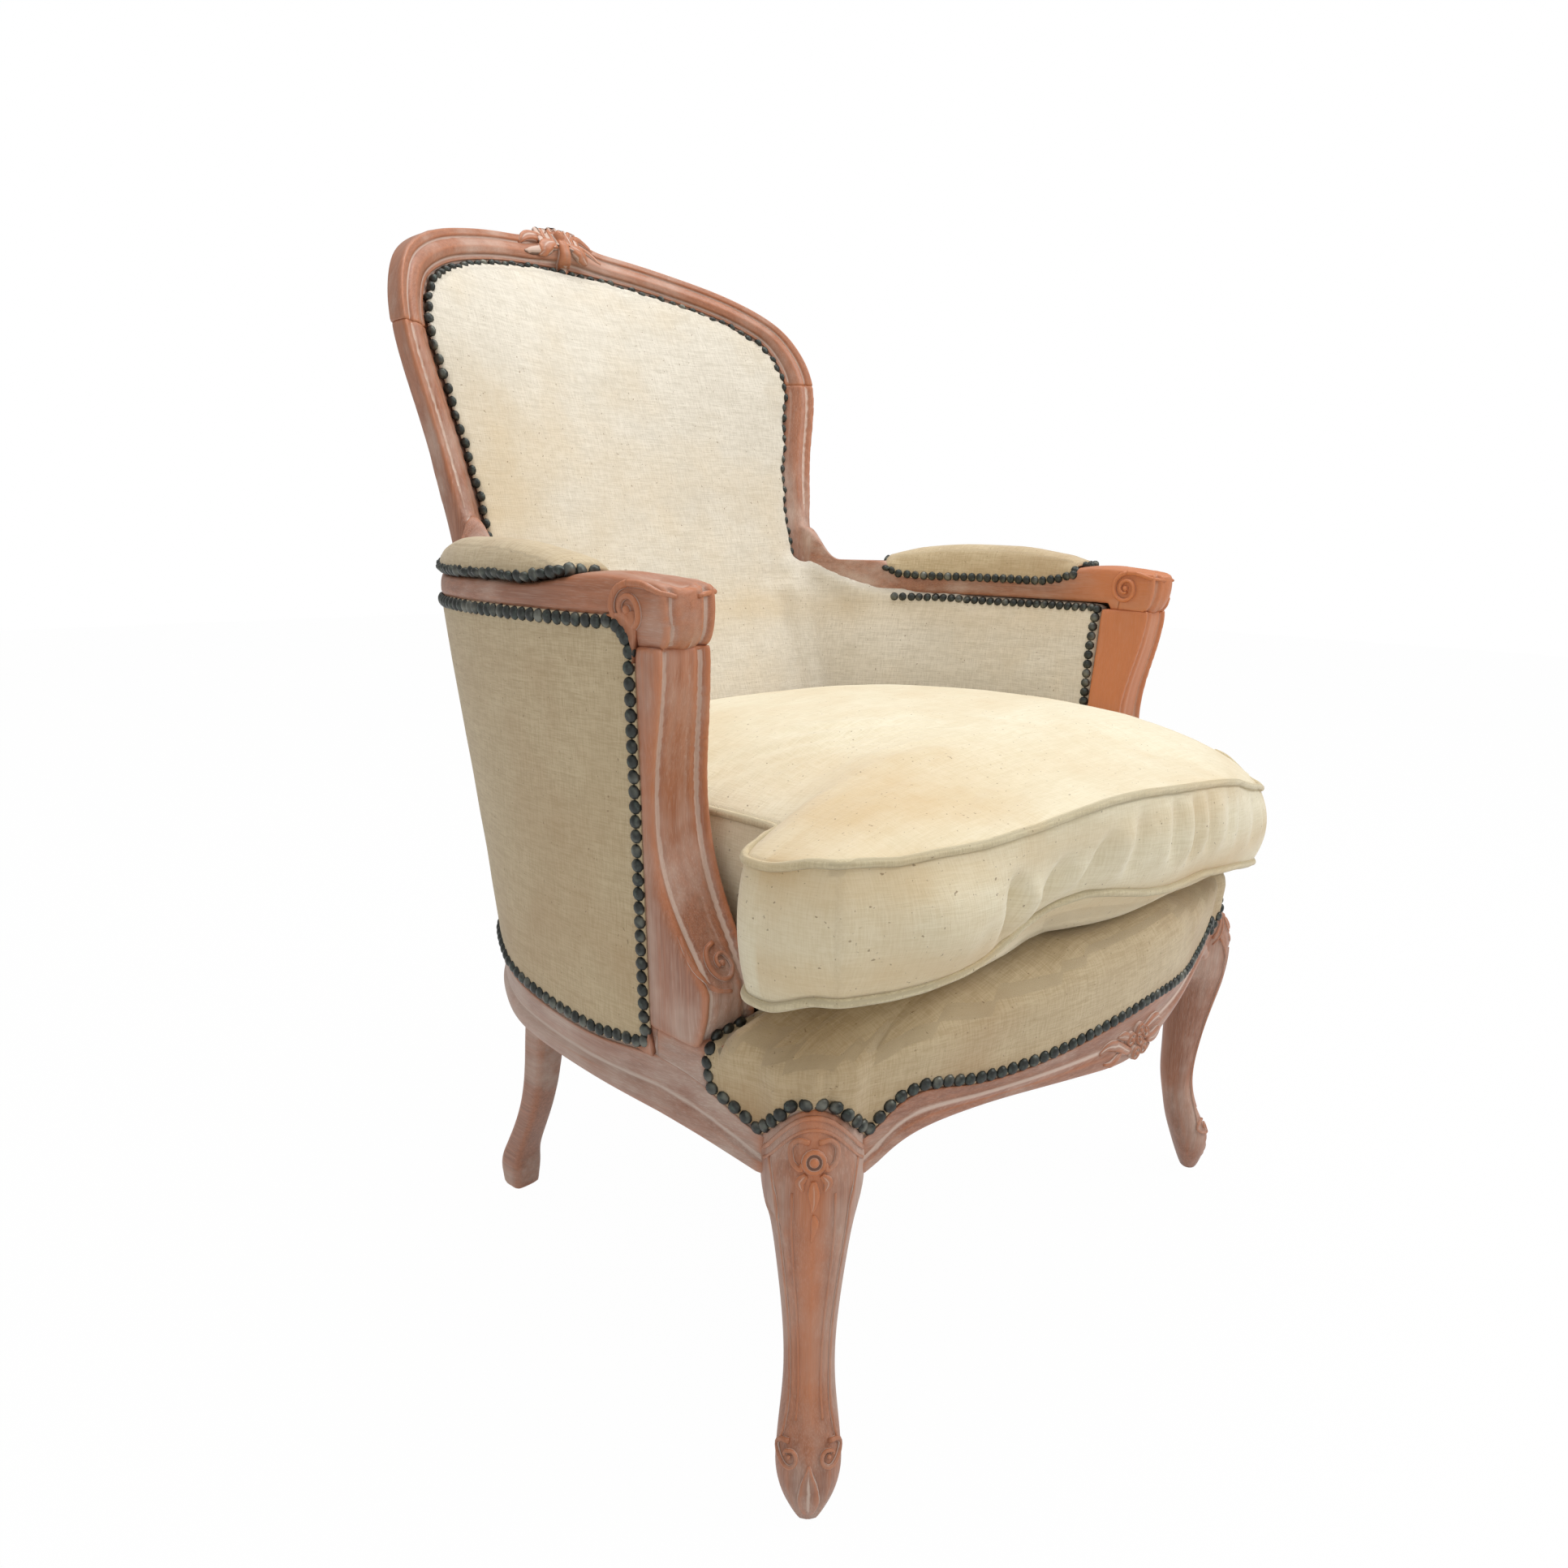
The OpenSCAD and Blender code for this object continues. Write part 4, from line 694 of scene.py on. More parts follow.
@dataclass
class NailRow:
    """One row of domed nails along the rim of a cover."""

    name: str
    nodes: Sequence[str]
    toward: tuple[float, float, float]
    pitch: float = 10.2 * MM
    inset: float = 4.5 * MM
    radius: float = 5.1 * MM
    height: float = 3.4 * MM
    bend: float = math.radians(50)
    slack: float = 12 * MM
    keep: Keep = lambda p: True
    shift: Callable[[Vector], Vector] = lambda p: p
    extra: Sequence[Vector] = ()

    def places(self) -> list[tuple[Vector, Vector]]:
        """Where the nails stand, from the frame's own cover."""
        bm = copied(self.nodes)
        rim = rim_of(face_patch(bm, Vector(self.toward), self.bend))
        found = spaced(rim, self.pitch, self.inset, self.keep)
        bm.free()
        found = [(self.shift(point), normal) for point, normal in found]
        return found + [(place, Vector(self.toward)) for place in self.extra]

    def build(self, finish: bpy.types.Material, skin: BVHTree | None = None) -> bpy.types.Object:
        """Drives the nails in.

        Args:
            finish: the finish of the heads.
            skin: the dressed cover that the heads sit on, where it differs from the frame's.

        Returns:
            One piece with all the heads of the row.
        """
        head = bmesh.new()
        bmesh.ops.create_uvsphere(head, u_segments=10, v_segments=6, radius=1.0)
        shape = np.array([v.co for v in head.verts])
        faces = [[v.index for v in f.verts] for f in head.faces]
        head.free()
        points, polygons = [], []
        for i, (point, normal) in enumerate(self.places()):
            if skin is not None:
                near, n, _, _ = skin.find_nearest(point)
                if near is not None and (near - point).length < self.slack:
                    point, normal = near, n
            wobble = noise.noise_vector(Vector((i * 1.7, 0.3, len(self.name))))
            up = (normal + wobble * 0.16).normalized()
            size = self.radius * (1 + 0.05 * wobble.x)
            turn = np.array(up.to_track_quat("Z", "Y").to_matrix())
            sized = shape * (size, size, self.height)
            points.append(sized @ turn.T + np.array(point + wobble * 0.35 * MM))
            polygons += [[k + i * len(shape) for k in f] for f in faces]
        mesh = bpy.data.meshes.new(self.name)
        mesh.from_pydata(np.concatenate(points).tolist(), [], polygons)
        bm = bmesh.new()
        bm.from_mesh(mesh)
        bpy.data.meshes.remove(mesh)
        piece = added(bm, self.name, finish)
        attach(piece, "frame")
        LOG.info("%s: %d nails", self.name, len(points))
        return piece


@dataclass
class RoundedCorner:
    """The wood that rounds off a front corner of a side panel, and the arc of nails along it."""

    side: Side
    up: int
    radius: float
    sink: float = 3 * MM
    proud: float = 1.6 * MM
    past: float = 4 * MM
    nail_inset: float = 3.5 * MM
    overrun: float = 0.16

    def __post_init__(self) -> None:
        """Finds the corner on the panel's rim and the two ways that leave it."""
        bm = copied([f"outer_side_panel_{self.side.word}"])
        rim = rim_of(face_patch(bm, Vector((self.side.value, 0, 0)), math.radians(50)))
        bm.free()
        n = len(rim.points)
        k = max(range(n), key=lambda i: rim.points[i].z * self.up - rim.points[i].y)
        self.corner = rim.points[k]
        self.ways = []
        for step in (1, -1):
            reached = (rim.points[(k + i * step) % n] - self.corner for i in range(1, n))
            self.ways.append(next(way for way in reached if way.length > self.radius).normalized())
        self.normal = self.ways[0].cross(self.ways[1]).normalized()
        if self.normal.x * self.side.value < 0:
            self.normal.negate()
        self.centre = self.corner + (self.ways[0] + self.ways[1]) * self.radius

    def shifted(self, p: Vector) -> Vector:
        """A nail's place on the arc, for one that would stand in the corner."""
        across, down = (-(p - self.centre).dot(way) for way in self.ways)
        if across <= 0 or down <= 0:
            return p
        reach = (self.radius - self.nail_inset) / math.hypot(across, down)
        return p + self.ways[0] * (across - across * reach) + self.ways[1] * (down - down * reach)

    def build(self, finish: bpy.types.Material) -> None:
        """Builds the wood between the arc and the corner."""
        bm = bmesh.new()
        layers = []
        for lift in (-self.sink, self.proud):
            points = [self.corner - (self.ways[0] + self.ways[1]) * self.past]
            for a in np.linspace(-self.overrun, math.pi / 2 + self.overrun, 14):
                across, down = self.radius * math.cos(a), self.radius * math.sin(a)
                points.append(self.centre - self.ways[0] * across - self.ways[1] * down)
            layers.append([bm.verts.new(p + self.normal * lift) for p in points])
        n = len(layers[0])
        for k in range(n):
            bm.faces.new((layers[0][k], layers[0][(k + 1) % n], layers[1][(k + 1) % n], layers[1][k]))
        for layer in layers:
            for k in range(1, n - 1):
                bm.faces.new((layer[0], layer[k], layer[k + 1]))
        name = f"panel_corner_{self.side.word}_{'upper' if self.up > 0 else 'lower'}"
        piece = added(bm, name, finish)
        dress_wood(piece, Grain.UPRIGHT)
        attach(piece, "frame")
        LOG.info("%s: %d faces", name, len(piece.data.polygons))


@dataclass
class WoodFrame:
    """The show-wood frame: refined copies of the frame's members."""

    finishes: Finishes
    levels: int = 2
    bend: float = math.radians(32)
    crease: float = 0.8
    skin: float = 2.0 * MM
    let_in: float = 9 * MM
    sweep_height: float = 46 * MM
    sweep_run: float = 36 * MM
    rail_top: float = 0.6555
    joint: tuple[float, float, float] = (0.228, 0.199, 0.678)
    joint_reach: float = 30 * MM
    arm_front: float = -0.17
    pieces: dict[str, bpy.types.Object] = field(default_factory=dict)

    def refined(self, node: str, finish: bpy.types.Material, ends: Ends = ()) -> bpy.types.Object:
        """A member's copy with rounded edges, its ends let a little into its neighbours.

        Args:
            node: the CAD node.
            finish: its material.
            ends: the ends let in, each as an axis, a sign and a length in millimetres.

        Returns:
            The copy.
        """
        bm = copied([node])
        creased(bm, self.bend, self.crease)
        piece = added(bm, node + "_show", finish)
        subdivided(piece, self.levels)
        co = points_of(piece.data)
        for axis, sign, length in ends:
            reach = co[:, axis] * sign
            co[:, axis] += sign * length * MM * np.clip((reach - reach.max()) / self.let_in + 1, 0, 1)
        move_points(piece.data, co)
        return piece

    def member(self, node: str, grain: Grain, finish: bpy.types.Material, ends: Ends = (),
               voxel: float = 0.0) -> None:
        """Refines one member and dresses it.

        Args:
            node: the CAD node that it stands for.
            grain: the way its grain runs.
            finish: its material.
            ends: the ends let into the neighbours.
            voxel: the size of the small even faces that carving needs, or 0 for none.
        """
        piece = self.refined(node, finish, ends)
        if voxel:
            remeshed(piece, voxel)
            self.fluted(piece)
        dress_wood(piece, grain)
        self.placed(piece, node)

    def placed(self, piece: bpy.types.Object, *nodes: str) -> None:
        """Puts a finished piece on the frame, in place of its nodes."""
        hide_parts(*nodes)
        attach(piece, "frame")
        self.pieces.update({node: piece for node in nodes})
        LOG.info("%s: %d faces", piece.name, len(piece.data.polygons))

    def side_frame(self, side: Side) -> None:
        """Builds a rear post and its arm rail with the carved sweep that joins them."""
        post, rail = f"rear_post_{side.word}", f"arm_rail_{side.word}"
        bm = bmesh.new()
        for node in (post, rail):
            part = self.refined(node, self.finishes.frame, [(2, 1, 1.5)] if node == post else ())
            bm.from_mesh(part.data)
            bpy.data.objects.remove(part)
        piece = added(bm, f"side_frame_{side.word}", self.finishes.frame)
        remeshed(piece, self.skin)
        self.fluted(piece)
        mesh = piece.data
        co, pairs = points_of(mesh), edges_of(mesh)
        reach = np.abs(co[:, 0]) * 0.68 - co[:, 1] * 0.73 - 0.012
        sweep = self.sweep_height * np.clip(1 - reach / self.sweep_run, 0, 1) ** 2.2
        top = self.rail_top
        rail_part = (co[:, 1] < 0.206) & (co[:, 1] > 0.06) & (co[:, 2] > top)
        co[rail_part, 2] = top + np.minimum(co[rail_part, 2] - top, sweep[rail_part])
        x, y, z = self.joint
        far = np.linalg.norm((co - (side.value * x, y, z)) / (1, 1, 1.3), axis=1)
        soft = np.clip(1.5 - far / self.joint_reach, 0, 1)[:, None]
        co = co * (1 - soft) + averaged(co, pairs, 70) * soft
        move_points(mesh, co)
        dress_wood(piece, Grain.UPRIGHT)
        grain = np.where((co[:, 1] < 0.19)[:, None], np.roll(co, -1, axis=1), np.roll(co, -2, axis=1))
        store(mesh, "grain", grain)
        self.placed(piece, post, rail)

    def fluted(self, piece: bpy.types.Object) -> None:
        """Cuts the flutes of an arm end or post."""
        mesh = piece.data
        co = averaged(points_of(mesh), edges_of(mesh), 2)
        move_points(mesh, co)
        normals = normals_of(mesh)
        front = np.clip((-normals[:, 1] - 0.2) / 0.35, 0, 1) * (co[:, 1] < self.arm_front)
        level = np.round(co[:, 2] / (6 * MM)).astype(int)
        share = np.zeros(len(co))
        for k in np.unique(level):
            here = level == k
            near = here & (co[:, 1] < self.arm_front)
            if near.sum() > 3:
                low, high = np.abs(co[near, 0]).min(), np.abs(co[near, 0]).max()
                share[here] = (np.abs(co[here, 0]) - low) / max(high - low, 1e-6)
        bead = 1.3 * humps(share, 0.07, 0.05) + 1.3 * humps(share, 0.93, 0.05)
        cut = 3.2 * humps(share, 0.2, 0.05) + 3.2 * humps(share, 0.8, 0.05)
        heart = 2.2 * humps(share, 0.5, 0.16) + 0.8 * humps(share, 0.32, 0.04)
        push = front * (bead - cut + heart)
        top = np.clip((normals[:, 2] - 0.3) / 0.4, 0, 1) * (co[:, 2] > 0.63)
        top *= np.clip((-co[:, 1] - 0.175) / 0.02, 0, 1)
        push -= top * (5.0 * humps(share, 0.5, 0.2) - 1.0)
        co = co + normals * (push * MM)[:, None]
        under = np.clip((0.640 - co[:, 2]) / (28 * MM), 0, 1) ** 2 * (co[:, 2] > 0.598) * (co[:, 1] < -0.19)
        if co[:, 1].max() > 0:
            co[:, 1] += 4.5 * MM * under
            co[:, 0] -= 2.5 * MM * under * np.sign(co[:, 0]) * (share > 0.5)
        move_points(mesh, co)

    def build(self) -> None:
        """Builds every member."""
        f = self.finishes
        self.member("crest_rail", Grain.ARCH, f.frame)
        self.member("front_rail", Grain.ACROSS, f.frame, [(0, -1, 8), (0, 1, 8)])
        self.member("rear_rail", Grain.ACROSS, f.washed, [(0, -1, 4), (0, 1, 4)])
        for side in Side:
            self.side_frame(side)
            self.member(f"arm_post_{side.word}", Grain.UPRIGHT, f.frame, [(2, 1, 2), (2, -1, 3)], 2.2 * MM)
            self.member(f"front_leg_{side.word}", Grain.UPRIGHT, f.frame)
            self.member(f"side_rail_{side.word}", Grain.DEPTH, f.washed, [(1, -1, 8), (1, 1, 5)])


@dataclass
class Board:
    """A drawing board held before the wood: what is drawn on it is carved where it falls."""

    skin: BVHTree
    centre: Vector
    normal: Vector
    up: Vector = field(default_factory=lambda: Vector((0, 0, 1)))
    hand: float = 1.0
    depth: float = 45 * MM

    def at(self, x: float, y: float) -> tuple[Vector, Vector]:
        """The place and normal on the wood behind a point of the board, given in millimetres."""
        out = self.normal.normalized()
        right = self.up.cross(out).normalized()
        rise = out.cross(right)
        start = self.centre + right * (x * MM * self.hand) + rise * (y * MM) + out * self.depth
        place, normal, _, _ = self.skin.ray_cast(start, -out, 2 * self.depth)
        if place is None:
            place, normal, _, _ = self.skin.find_nearest(start - out * self.depth)
        return place, normal if normal.dot(out) > 0 else -normal


def smooth_rows(rows: Sequence[Sequence[float]], count: int) -> np.ndarray:
    """Rows of numbers run through by a Catmull-Rom curve.

    Args:
        rows: the rows to pass through.
        count: how many rows to return.

    Returns:
        The rows of the curve.
    """
    p = np.array(rows, float)
    p = np.vstack([2 * p[0] - p[1], p, 2 * p[-1] - p[-2]])
    made = []
    for s in np.linspace(0, len(rows) - 1, count):
        i = min(int(s), len(rows) - 2)
        f = s - i
        a, b, c, d = p[i:i + 4]
        square, cube = 2 * a - 5 * b + 4 * c - d, 3 * b - a - 3 * c + d
        made.append(0.5 * (2 * b + (c - a) * f + square * f * f + cube * f ** 3))
    return np.array(made)


@dataclass
class Carving:
    """Relief laid on the wood as strokes, buttons and scrolls. Lengths are in millimetres."""

    name: str
    sink: float = 2.5
    sides: int = 8
    bm: bmesh.types.BMesh = field(default_factory=bmesh.new)

    def __post_init__(self) -> None:
        """Adds the layer of painted shade at the foot of each form, where it meets the wood."""
        self.pit = self.bm.verts.layers.float.new("pit")

    def ring(self, place: Vector, normal: Vector, side: Vector, width: float, height: float,
             cup: float) -> list:
        """One cross-section of a stroke: a rounded or cupped back over a sunk foot."""
        made = []
        for k in range(self.sides + 1):
            a = math.pi * k / self.sides
            across = -math.cos(a)
            lift = math.sin(a) ** 0.7 * (1 - cup * (1 - across * across))
            point = place + side * (across * width * MM) + normal * (lift * height * MM)
            made.append(self.bm.verts.new(point))
            # Painted shade at the foot of the stroke, and a little in the middle of a cupped back
            made[-1][self.pit] = 0.5 if k in (0, self.sides) else (0.1 if cup and abs(across) < 0.3 else 0.0)
        for across in (0.96, -0.96):
            made.append(self.bm.verts.new(place + side * (across * width * MM) - normal * (self.sink * MM)))
            made[-1][self.pit] = 0.5
        return made

    def stroke(self, board: Board, rows: Sequence[Sequence[float]], cup: float = 0.0,
               steps: int = 14) -> None:
        """Carves a stroke.

        Args:
            board: the board that it is drawn on.
            rows: its points, each with x, y, half width and height.
            cup: how far its back is hollowed, from 0 to 1.
            steps: how many cross-sections it has.
        """
        line = smooth_rows(rows, steps)
        found = [board.at(x, y) for x, y, _, _ in line]
        rings = []
        for i, (place, normal) in enumerate(found):
            ahead = found[min(i + 1, len(found) - 1)][0] - found[max(i - 1, 0)][0]
            side = ahead.cross(normal)
            if side.length < 1e-9:
                continue
            width, height = max(line[i][2], 0.3), max(line[i][3], 0.3)
            rings.append(self.ring(place, normal, side.normalized(), width, height, cup))
        self.skinned(rings)

    def skinned(self, rings: list) -> None:
        """Joins cross-sections into a closed form."""
        n = len(rings[0])
        for a, b in zip(rings, rings[1:]):
            for k in range(n):
                self.bm.faces.new((a[k], a[(k + 1) % n], b[(k + 1) % n], b[k]))
        self.bm.faces.new(rings[0][::-1])
        self.bm.faces.new(rings[-1])

    def button(self, board: Board, x: float, y: float, radius: float, height: float,
               dished: bool = True) -> None:
        """Carves a round button with a bead round a recess of painted shade and a domed heart."""
        place, normal = board.at(x, y)
        first = normal.orthogonal().normalized()
        second = normal.cross(first)
        # Each ring: share of the radius, lift and how much painted shade it holds
        shape = [(1.0, -0.6, 0.5), (1.0, 0.2, 0.4), (0.86, 0.8, 0.0), (0.68, 0.75, 0.0), (0.55, 0.2, 0.5),
                 (0.44, 0.3, 0.4), (0.3, 0.8, 0.0), (0.12, 1.0, 0.0)]
        if not dished:
            shape = [(1.0, -0.6, 0.5), (1.0, 0.15, 0.4), (0.85, 0.6, 0.0), (0.5, 0.92, 0.0), (0.15, 1.0, 0.0)]
        rings = []
        for share, lift, dark in shape:
            ring = []
            for k in range(14):
                a = math.tau * k / 14
                way = first * math.cos(a) + second * math.sin(a)
                point = place + way * (share * radius * MM) + normal * (lift * height * MM)
                ring.append(self.bm.verts.new(point))
                ring[-1][self.pit] = dark
            rings.append(ring)
        self.skinned(rings)

    def scroll(self, board: Board, x: float, y: float, radius: float, turns: float, start: float,
               width: float = 1.7, height: float = 1.8) -> None:
        """Carves a spiral that winds in from a starting angle, with a button at its eye."""
        rows = []
        for i in range(int(12 * abs(turns)) + 1):
            f = i / (12 * abs(turns))
            a = start + math.tau * turns * f
            r = radius * (1 - 0.78 * f)
            rows.append((x + r * math.cos(a), y + r * math.sin(a), width * (1 - 0.35 * f), height))
        self.stroke(board, rows, steps=len(rows) * 2)
        self.button(board, x, y, radius * 0.2, height * 1.1, dished=False)

    def finished(self, finish: bpy.types.Material, grain: Grain = Grain.ACROSS) -> bpy.types.Object:
        """Turns the carving into a piece on the frame."""
        piece = added(self.bm, self.name, finish)
        dress_wood(piece, grain)
        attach(piece, "frame")
        LOG.info("%s: %d faces", self.name, len(piece.data.polygons))
        return piece


@dataclass
class Carver:
    """All the carving on the show wood, laid on the finished members."""

    wood: WoodFrame
    finishes: Finishes

    def board(self, node: str, centre: Sequence[float], normal: Sequence[float], hand: float = 1.0) -> Board:
        """A board before one member, with its centre given in millimetres."""
        return Board(surface_of(self.wood.pieces[node]), Vector(centre) * MM, Vector(normal), hand=hand)

    def crest(self) -> None:
        """The open flower on the crest, with a drooping petal and a leaf to each side."""
        board = self.board("crest_rail", (-5, 340, 984), (0, -1, -0.1))
        c = Carving("crest_flower")
        leaves = [
            ([(-52, -4, 1, 1), (-42, 4, 5, 5), (-28, 6, 6, 6), (-14, 2, 3, 4)], 0.4),
            ([(-46, 8, 1, 1), (-38, 13, 4, 4), (-26, 14, 4, 5), (-16, 9, 3, 4)], 0.0),
            ([(14, 2, 3, 4), (28, 4, 7, 6), (40, 0, 5, 5), (52, -8, 1, 1)], 0.4),
            ([(16, 8, 3, 4), (28, 12, 5, 5), (40, 8, 3, 3), (46, 4, 1, 1)], 0.0),
        ]
        petals = [
            ([(-4, 6, 3, 5), (-16, 14, 7, 8), (-22, 22, 5, 6), (-24, 26, 1, 3)], 0.45),
            ([(-1, 8, 3, 5), (-5, 20, 7, 8), (-7, 28, 6, 7), (-8, 32, 1, 3)], 0.45),
            ([(3, 8, 3, 5), (9, 19, 7, 8), (12, 27, 6, 7), (13, 31, 1, 3)], 0.45),
            ([(6, 6, 3, 5), (18, 13, 6, 8), (25, 18, 5, 6), (28, 21, 1, 3)], 0.45),
            ([(-6, 2, 3, 6), (-18, -2, 8, 9), (-27, -9, 6, 7), (-31, -13, 1, 3)], 0.35),
            ([(6, 2, 3, 6), (19, -3, 7, 9), (28, -9, 5, 6), (32, -12, 1, 3)], 0.35),
            ([(0, 6, 5, 8), (1, -6, 7, 11), (2, -18, 8, 11), (3, -27, 6, 8), (3, -31, 1, 3)], 0.3),
        ]
        for rows, cup in leaves + petals:
            c.stroke(board, rows, cup)
        c.button(board, 0, 7, 7, 11, dished=False)
        c.finished(self.finishes.frame, Grain.ARCH)

    def rail_flower(self) -> None:
        """The lopsided cluster of round pits and lobes under the middle of the seat."""
        board = self.board("front_rail", (2.5, -398, 287), (0, -1, 0))
        c = Carving("rail_flower")
        for rows, cup in [
            ([(-54, 5, 1, 1), (-44, 9, 4, 3), (-32, 6, 5, 4), (-20, -1, 4, 4), (-12, -4, 2, 3)], 0.4),
            ([(-50, -4, 1, 1), (-42, -6, 3, 3), (-34, -4, 3, 3), (-26, 0, 1, 2)], 0.0),
            ([(-30, 13, 1, 1), (-22, 12, 4, 4), (-12, 7, 3, 4)], 0.3),
            ([(14, 6, 3, 4), (26, 10, 5, 5), (38, 9, 4, 4), (50, 3, 1, 1)], 0.4),
            ([(15, -3, 3, 4), (27, -4, 5, 5), (38, -3, 4, 4), (48, -6, 1, 1)], 0.35),
            ([(8, -10, 3, 4), (18, -14, 4, 4), (28, -13, 1, 2)], 0.2),
        ]:
            c.stroke(board, rows, cup)
        for x, y, r in [(-11, 6, 6.5), (1, 11, 6.5), (12, 4, 6), (-6, -7, 6.5), (6, -6, 6), (0, 1, 5)]:
            c.button(board, x, y, r, 5.5)
        c.finished(self.finishes.frame)

    def knee(self, side: Side) -> None:
        """Arch, rosette, buds, drop leaf, edge beads and ankle scrolls of a front leg."""
        x = 298.0 * side.value
        board = self.board(f"front_leg_{side.word}", (x, -318, 0), (0.7071 * side.value, -0.7071, 0))
        c = Carving(f"knee_carving_{side.word}")
        span, peak = 33.0, 321.0
        for drop, width, height in ((3.5, 1.8, 1.6), (10.5, 1.2, 1.1)):
            arch = [(s * span, peak - drop - 30 * s * s, width, height) for s in np.linspace(-1, 1, 9)]
            c.stroke(board, arch, steps=22)
        c.button(board, 0, 292, 8.5, 3.6)
        for hand in (-1, 1):
            rows = [(3, 303), (10, 304), (15, 299), (14, 291), (9, 287), (7, 291)]
            c.stroke(board, [(hand * a, b, 1.9, 2.2) for a, b in rows], steps=20)
            c.stroke(board, [(hand * 5, 284, 2, 2), (hand * 9, 279, 3.4, 3), (hand * 7, 273, 1, 1.5)], 0.3)
            edge = [(29, 286), (25, 262), (22, 234), (18.5, 196), (15.4, 156), (14.2, 120), (14.6, 92),
                    (17, 74), (20, 62)]
            c.stroke(board, [(hand * a, b, 1.5, 1.5) for a, b in edge], steps=44)
            inner = [(14, 270), (14, 240), (12, 200), (9.5, 160), (8, 124), (8, 96), (9.5, 78)]
            c.stroke(board, [(hand * a, b, 0.9, 0.9) for a, b in inner], steps=40)
            c.scroll(board, hand * 14, 56, 9.0, -1.3 * hand, math.pi / 2, 2.0, 2.6)
        c.stroke(board, [(0, 280, 2, 2), (0, 272, 4, 3.5), (0, 264, 2.4, 2.5), (-1, 258, 1, 1)], 0.3)
        c.stroke(board, [(0, 256, 1, 1), (1, 250, 2.6, 2.4), (0, 242, 1.6, 1.8), (-1, 234, 0.6, 0.8)])
        c.stroke(board, [(0, 52, 1, 1), (0, 38, 6, 3), (0, 22, 8, 4), (0, 8, 4, 2)], 0.35)
        c.finished(self.finishes.frame, Grain.UPRIGHT)

    def arm(self, side: Side) -> None:
        """Raised strokes over the arm end and down its post, with scrolls at both ends."""
        hand = side.value
        rail, post = f"arm_rail_{side.word}", f"arm_post_{side.word}"
        c = Carving(f"arm_carving_{side.word}")
        for face in (-1, 1):
            flank = self.board(rail, (322 * hand, -196, 0), (face, 0, 0))
            c.scroll(flank, 0, 635, 16.0, -1.6 * face, math.pi / 2, 2.6, 3.4)
            c.stroke(flank, [(0, 651, 2.6, 3.4), (-face * 14, 650, 2.4, 3.0), (-face * 34, 644, 1.4, 2.0)])
        shaft = self.board(post, (322 * hand, -224, 0), (0, -1, 0), hand)
        c.scroll(shaft, -6, 403, 12.0, -1.4, math.pi / 2, 2.0, 2.4)
        c.stroke(shaft, [(17, 424, 1.6, 1.6), (17, 405, 1.8, 2), (8, 391, 1.8, 2), (-6, 386, 1.5, 1.6)],
                 steps=16)
        c.finished(self.finishes.frame, Grain.UPRIGHT)

    def build(self) -> None:
        """Carves every place."""
        self.crest()
        self.rail_flower()
        for side in Side:
            self.knee(side)
            self.arm(side)


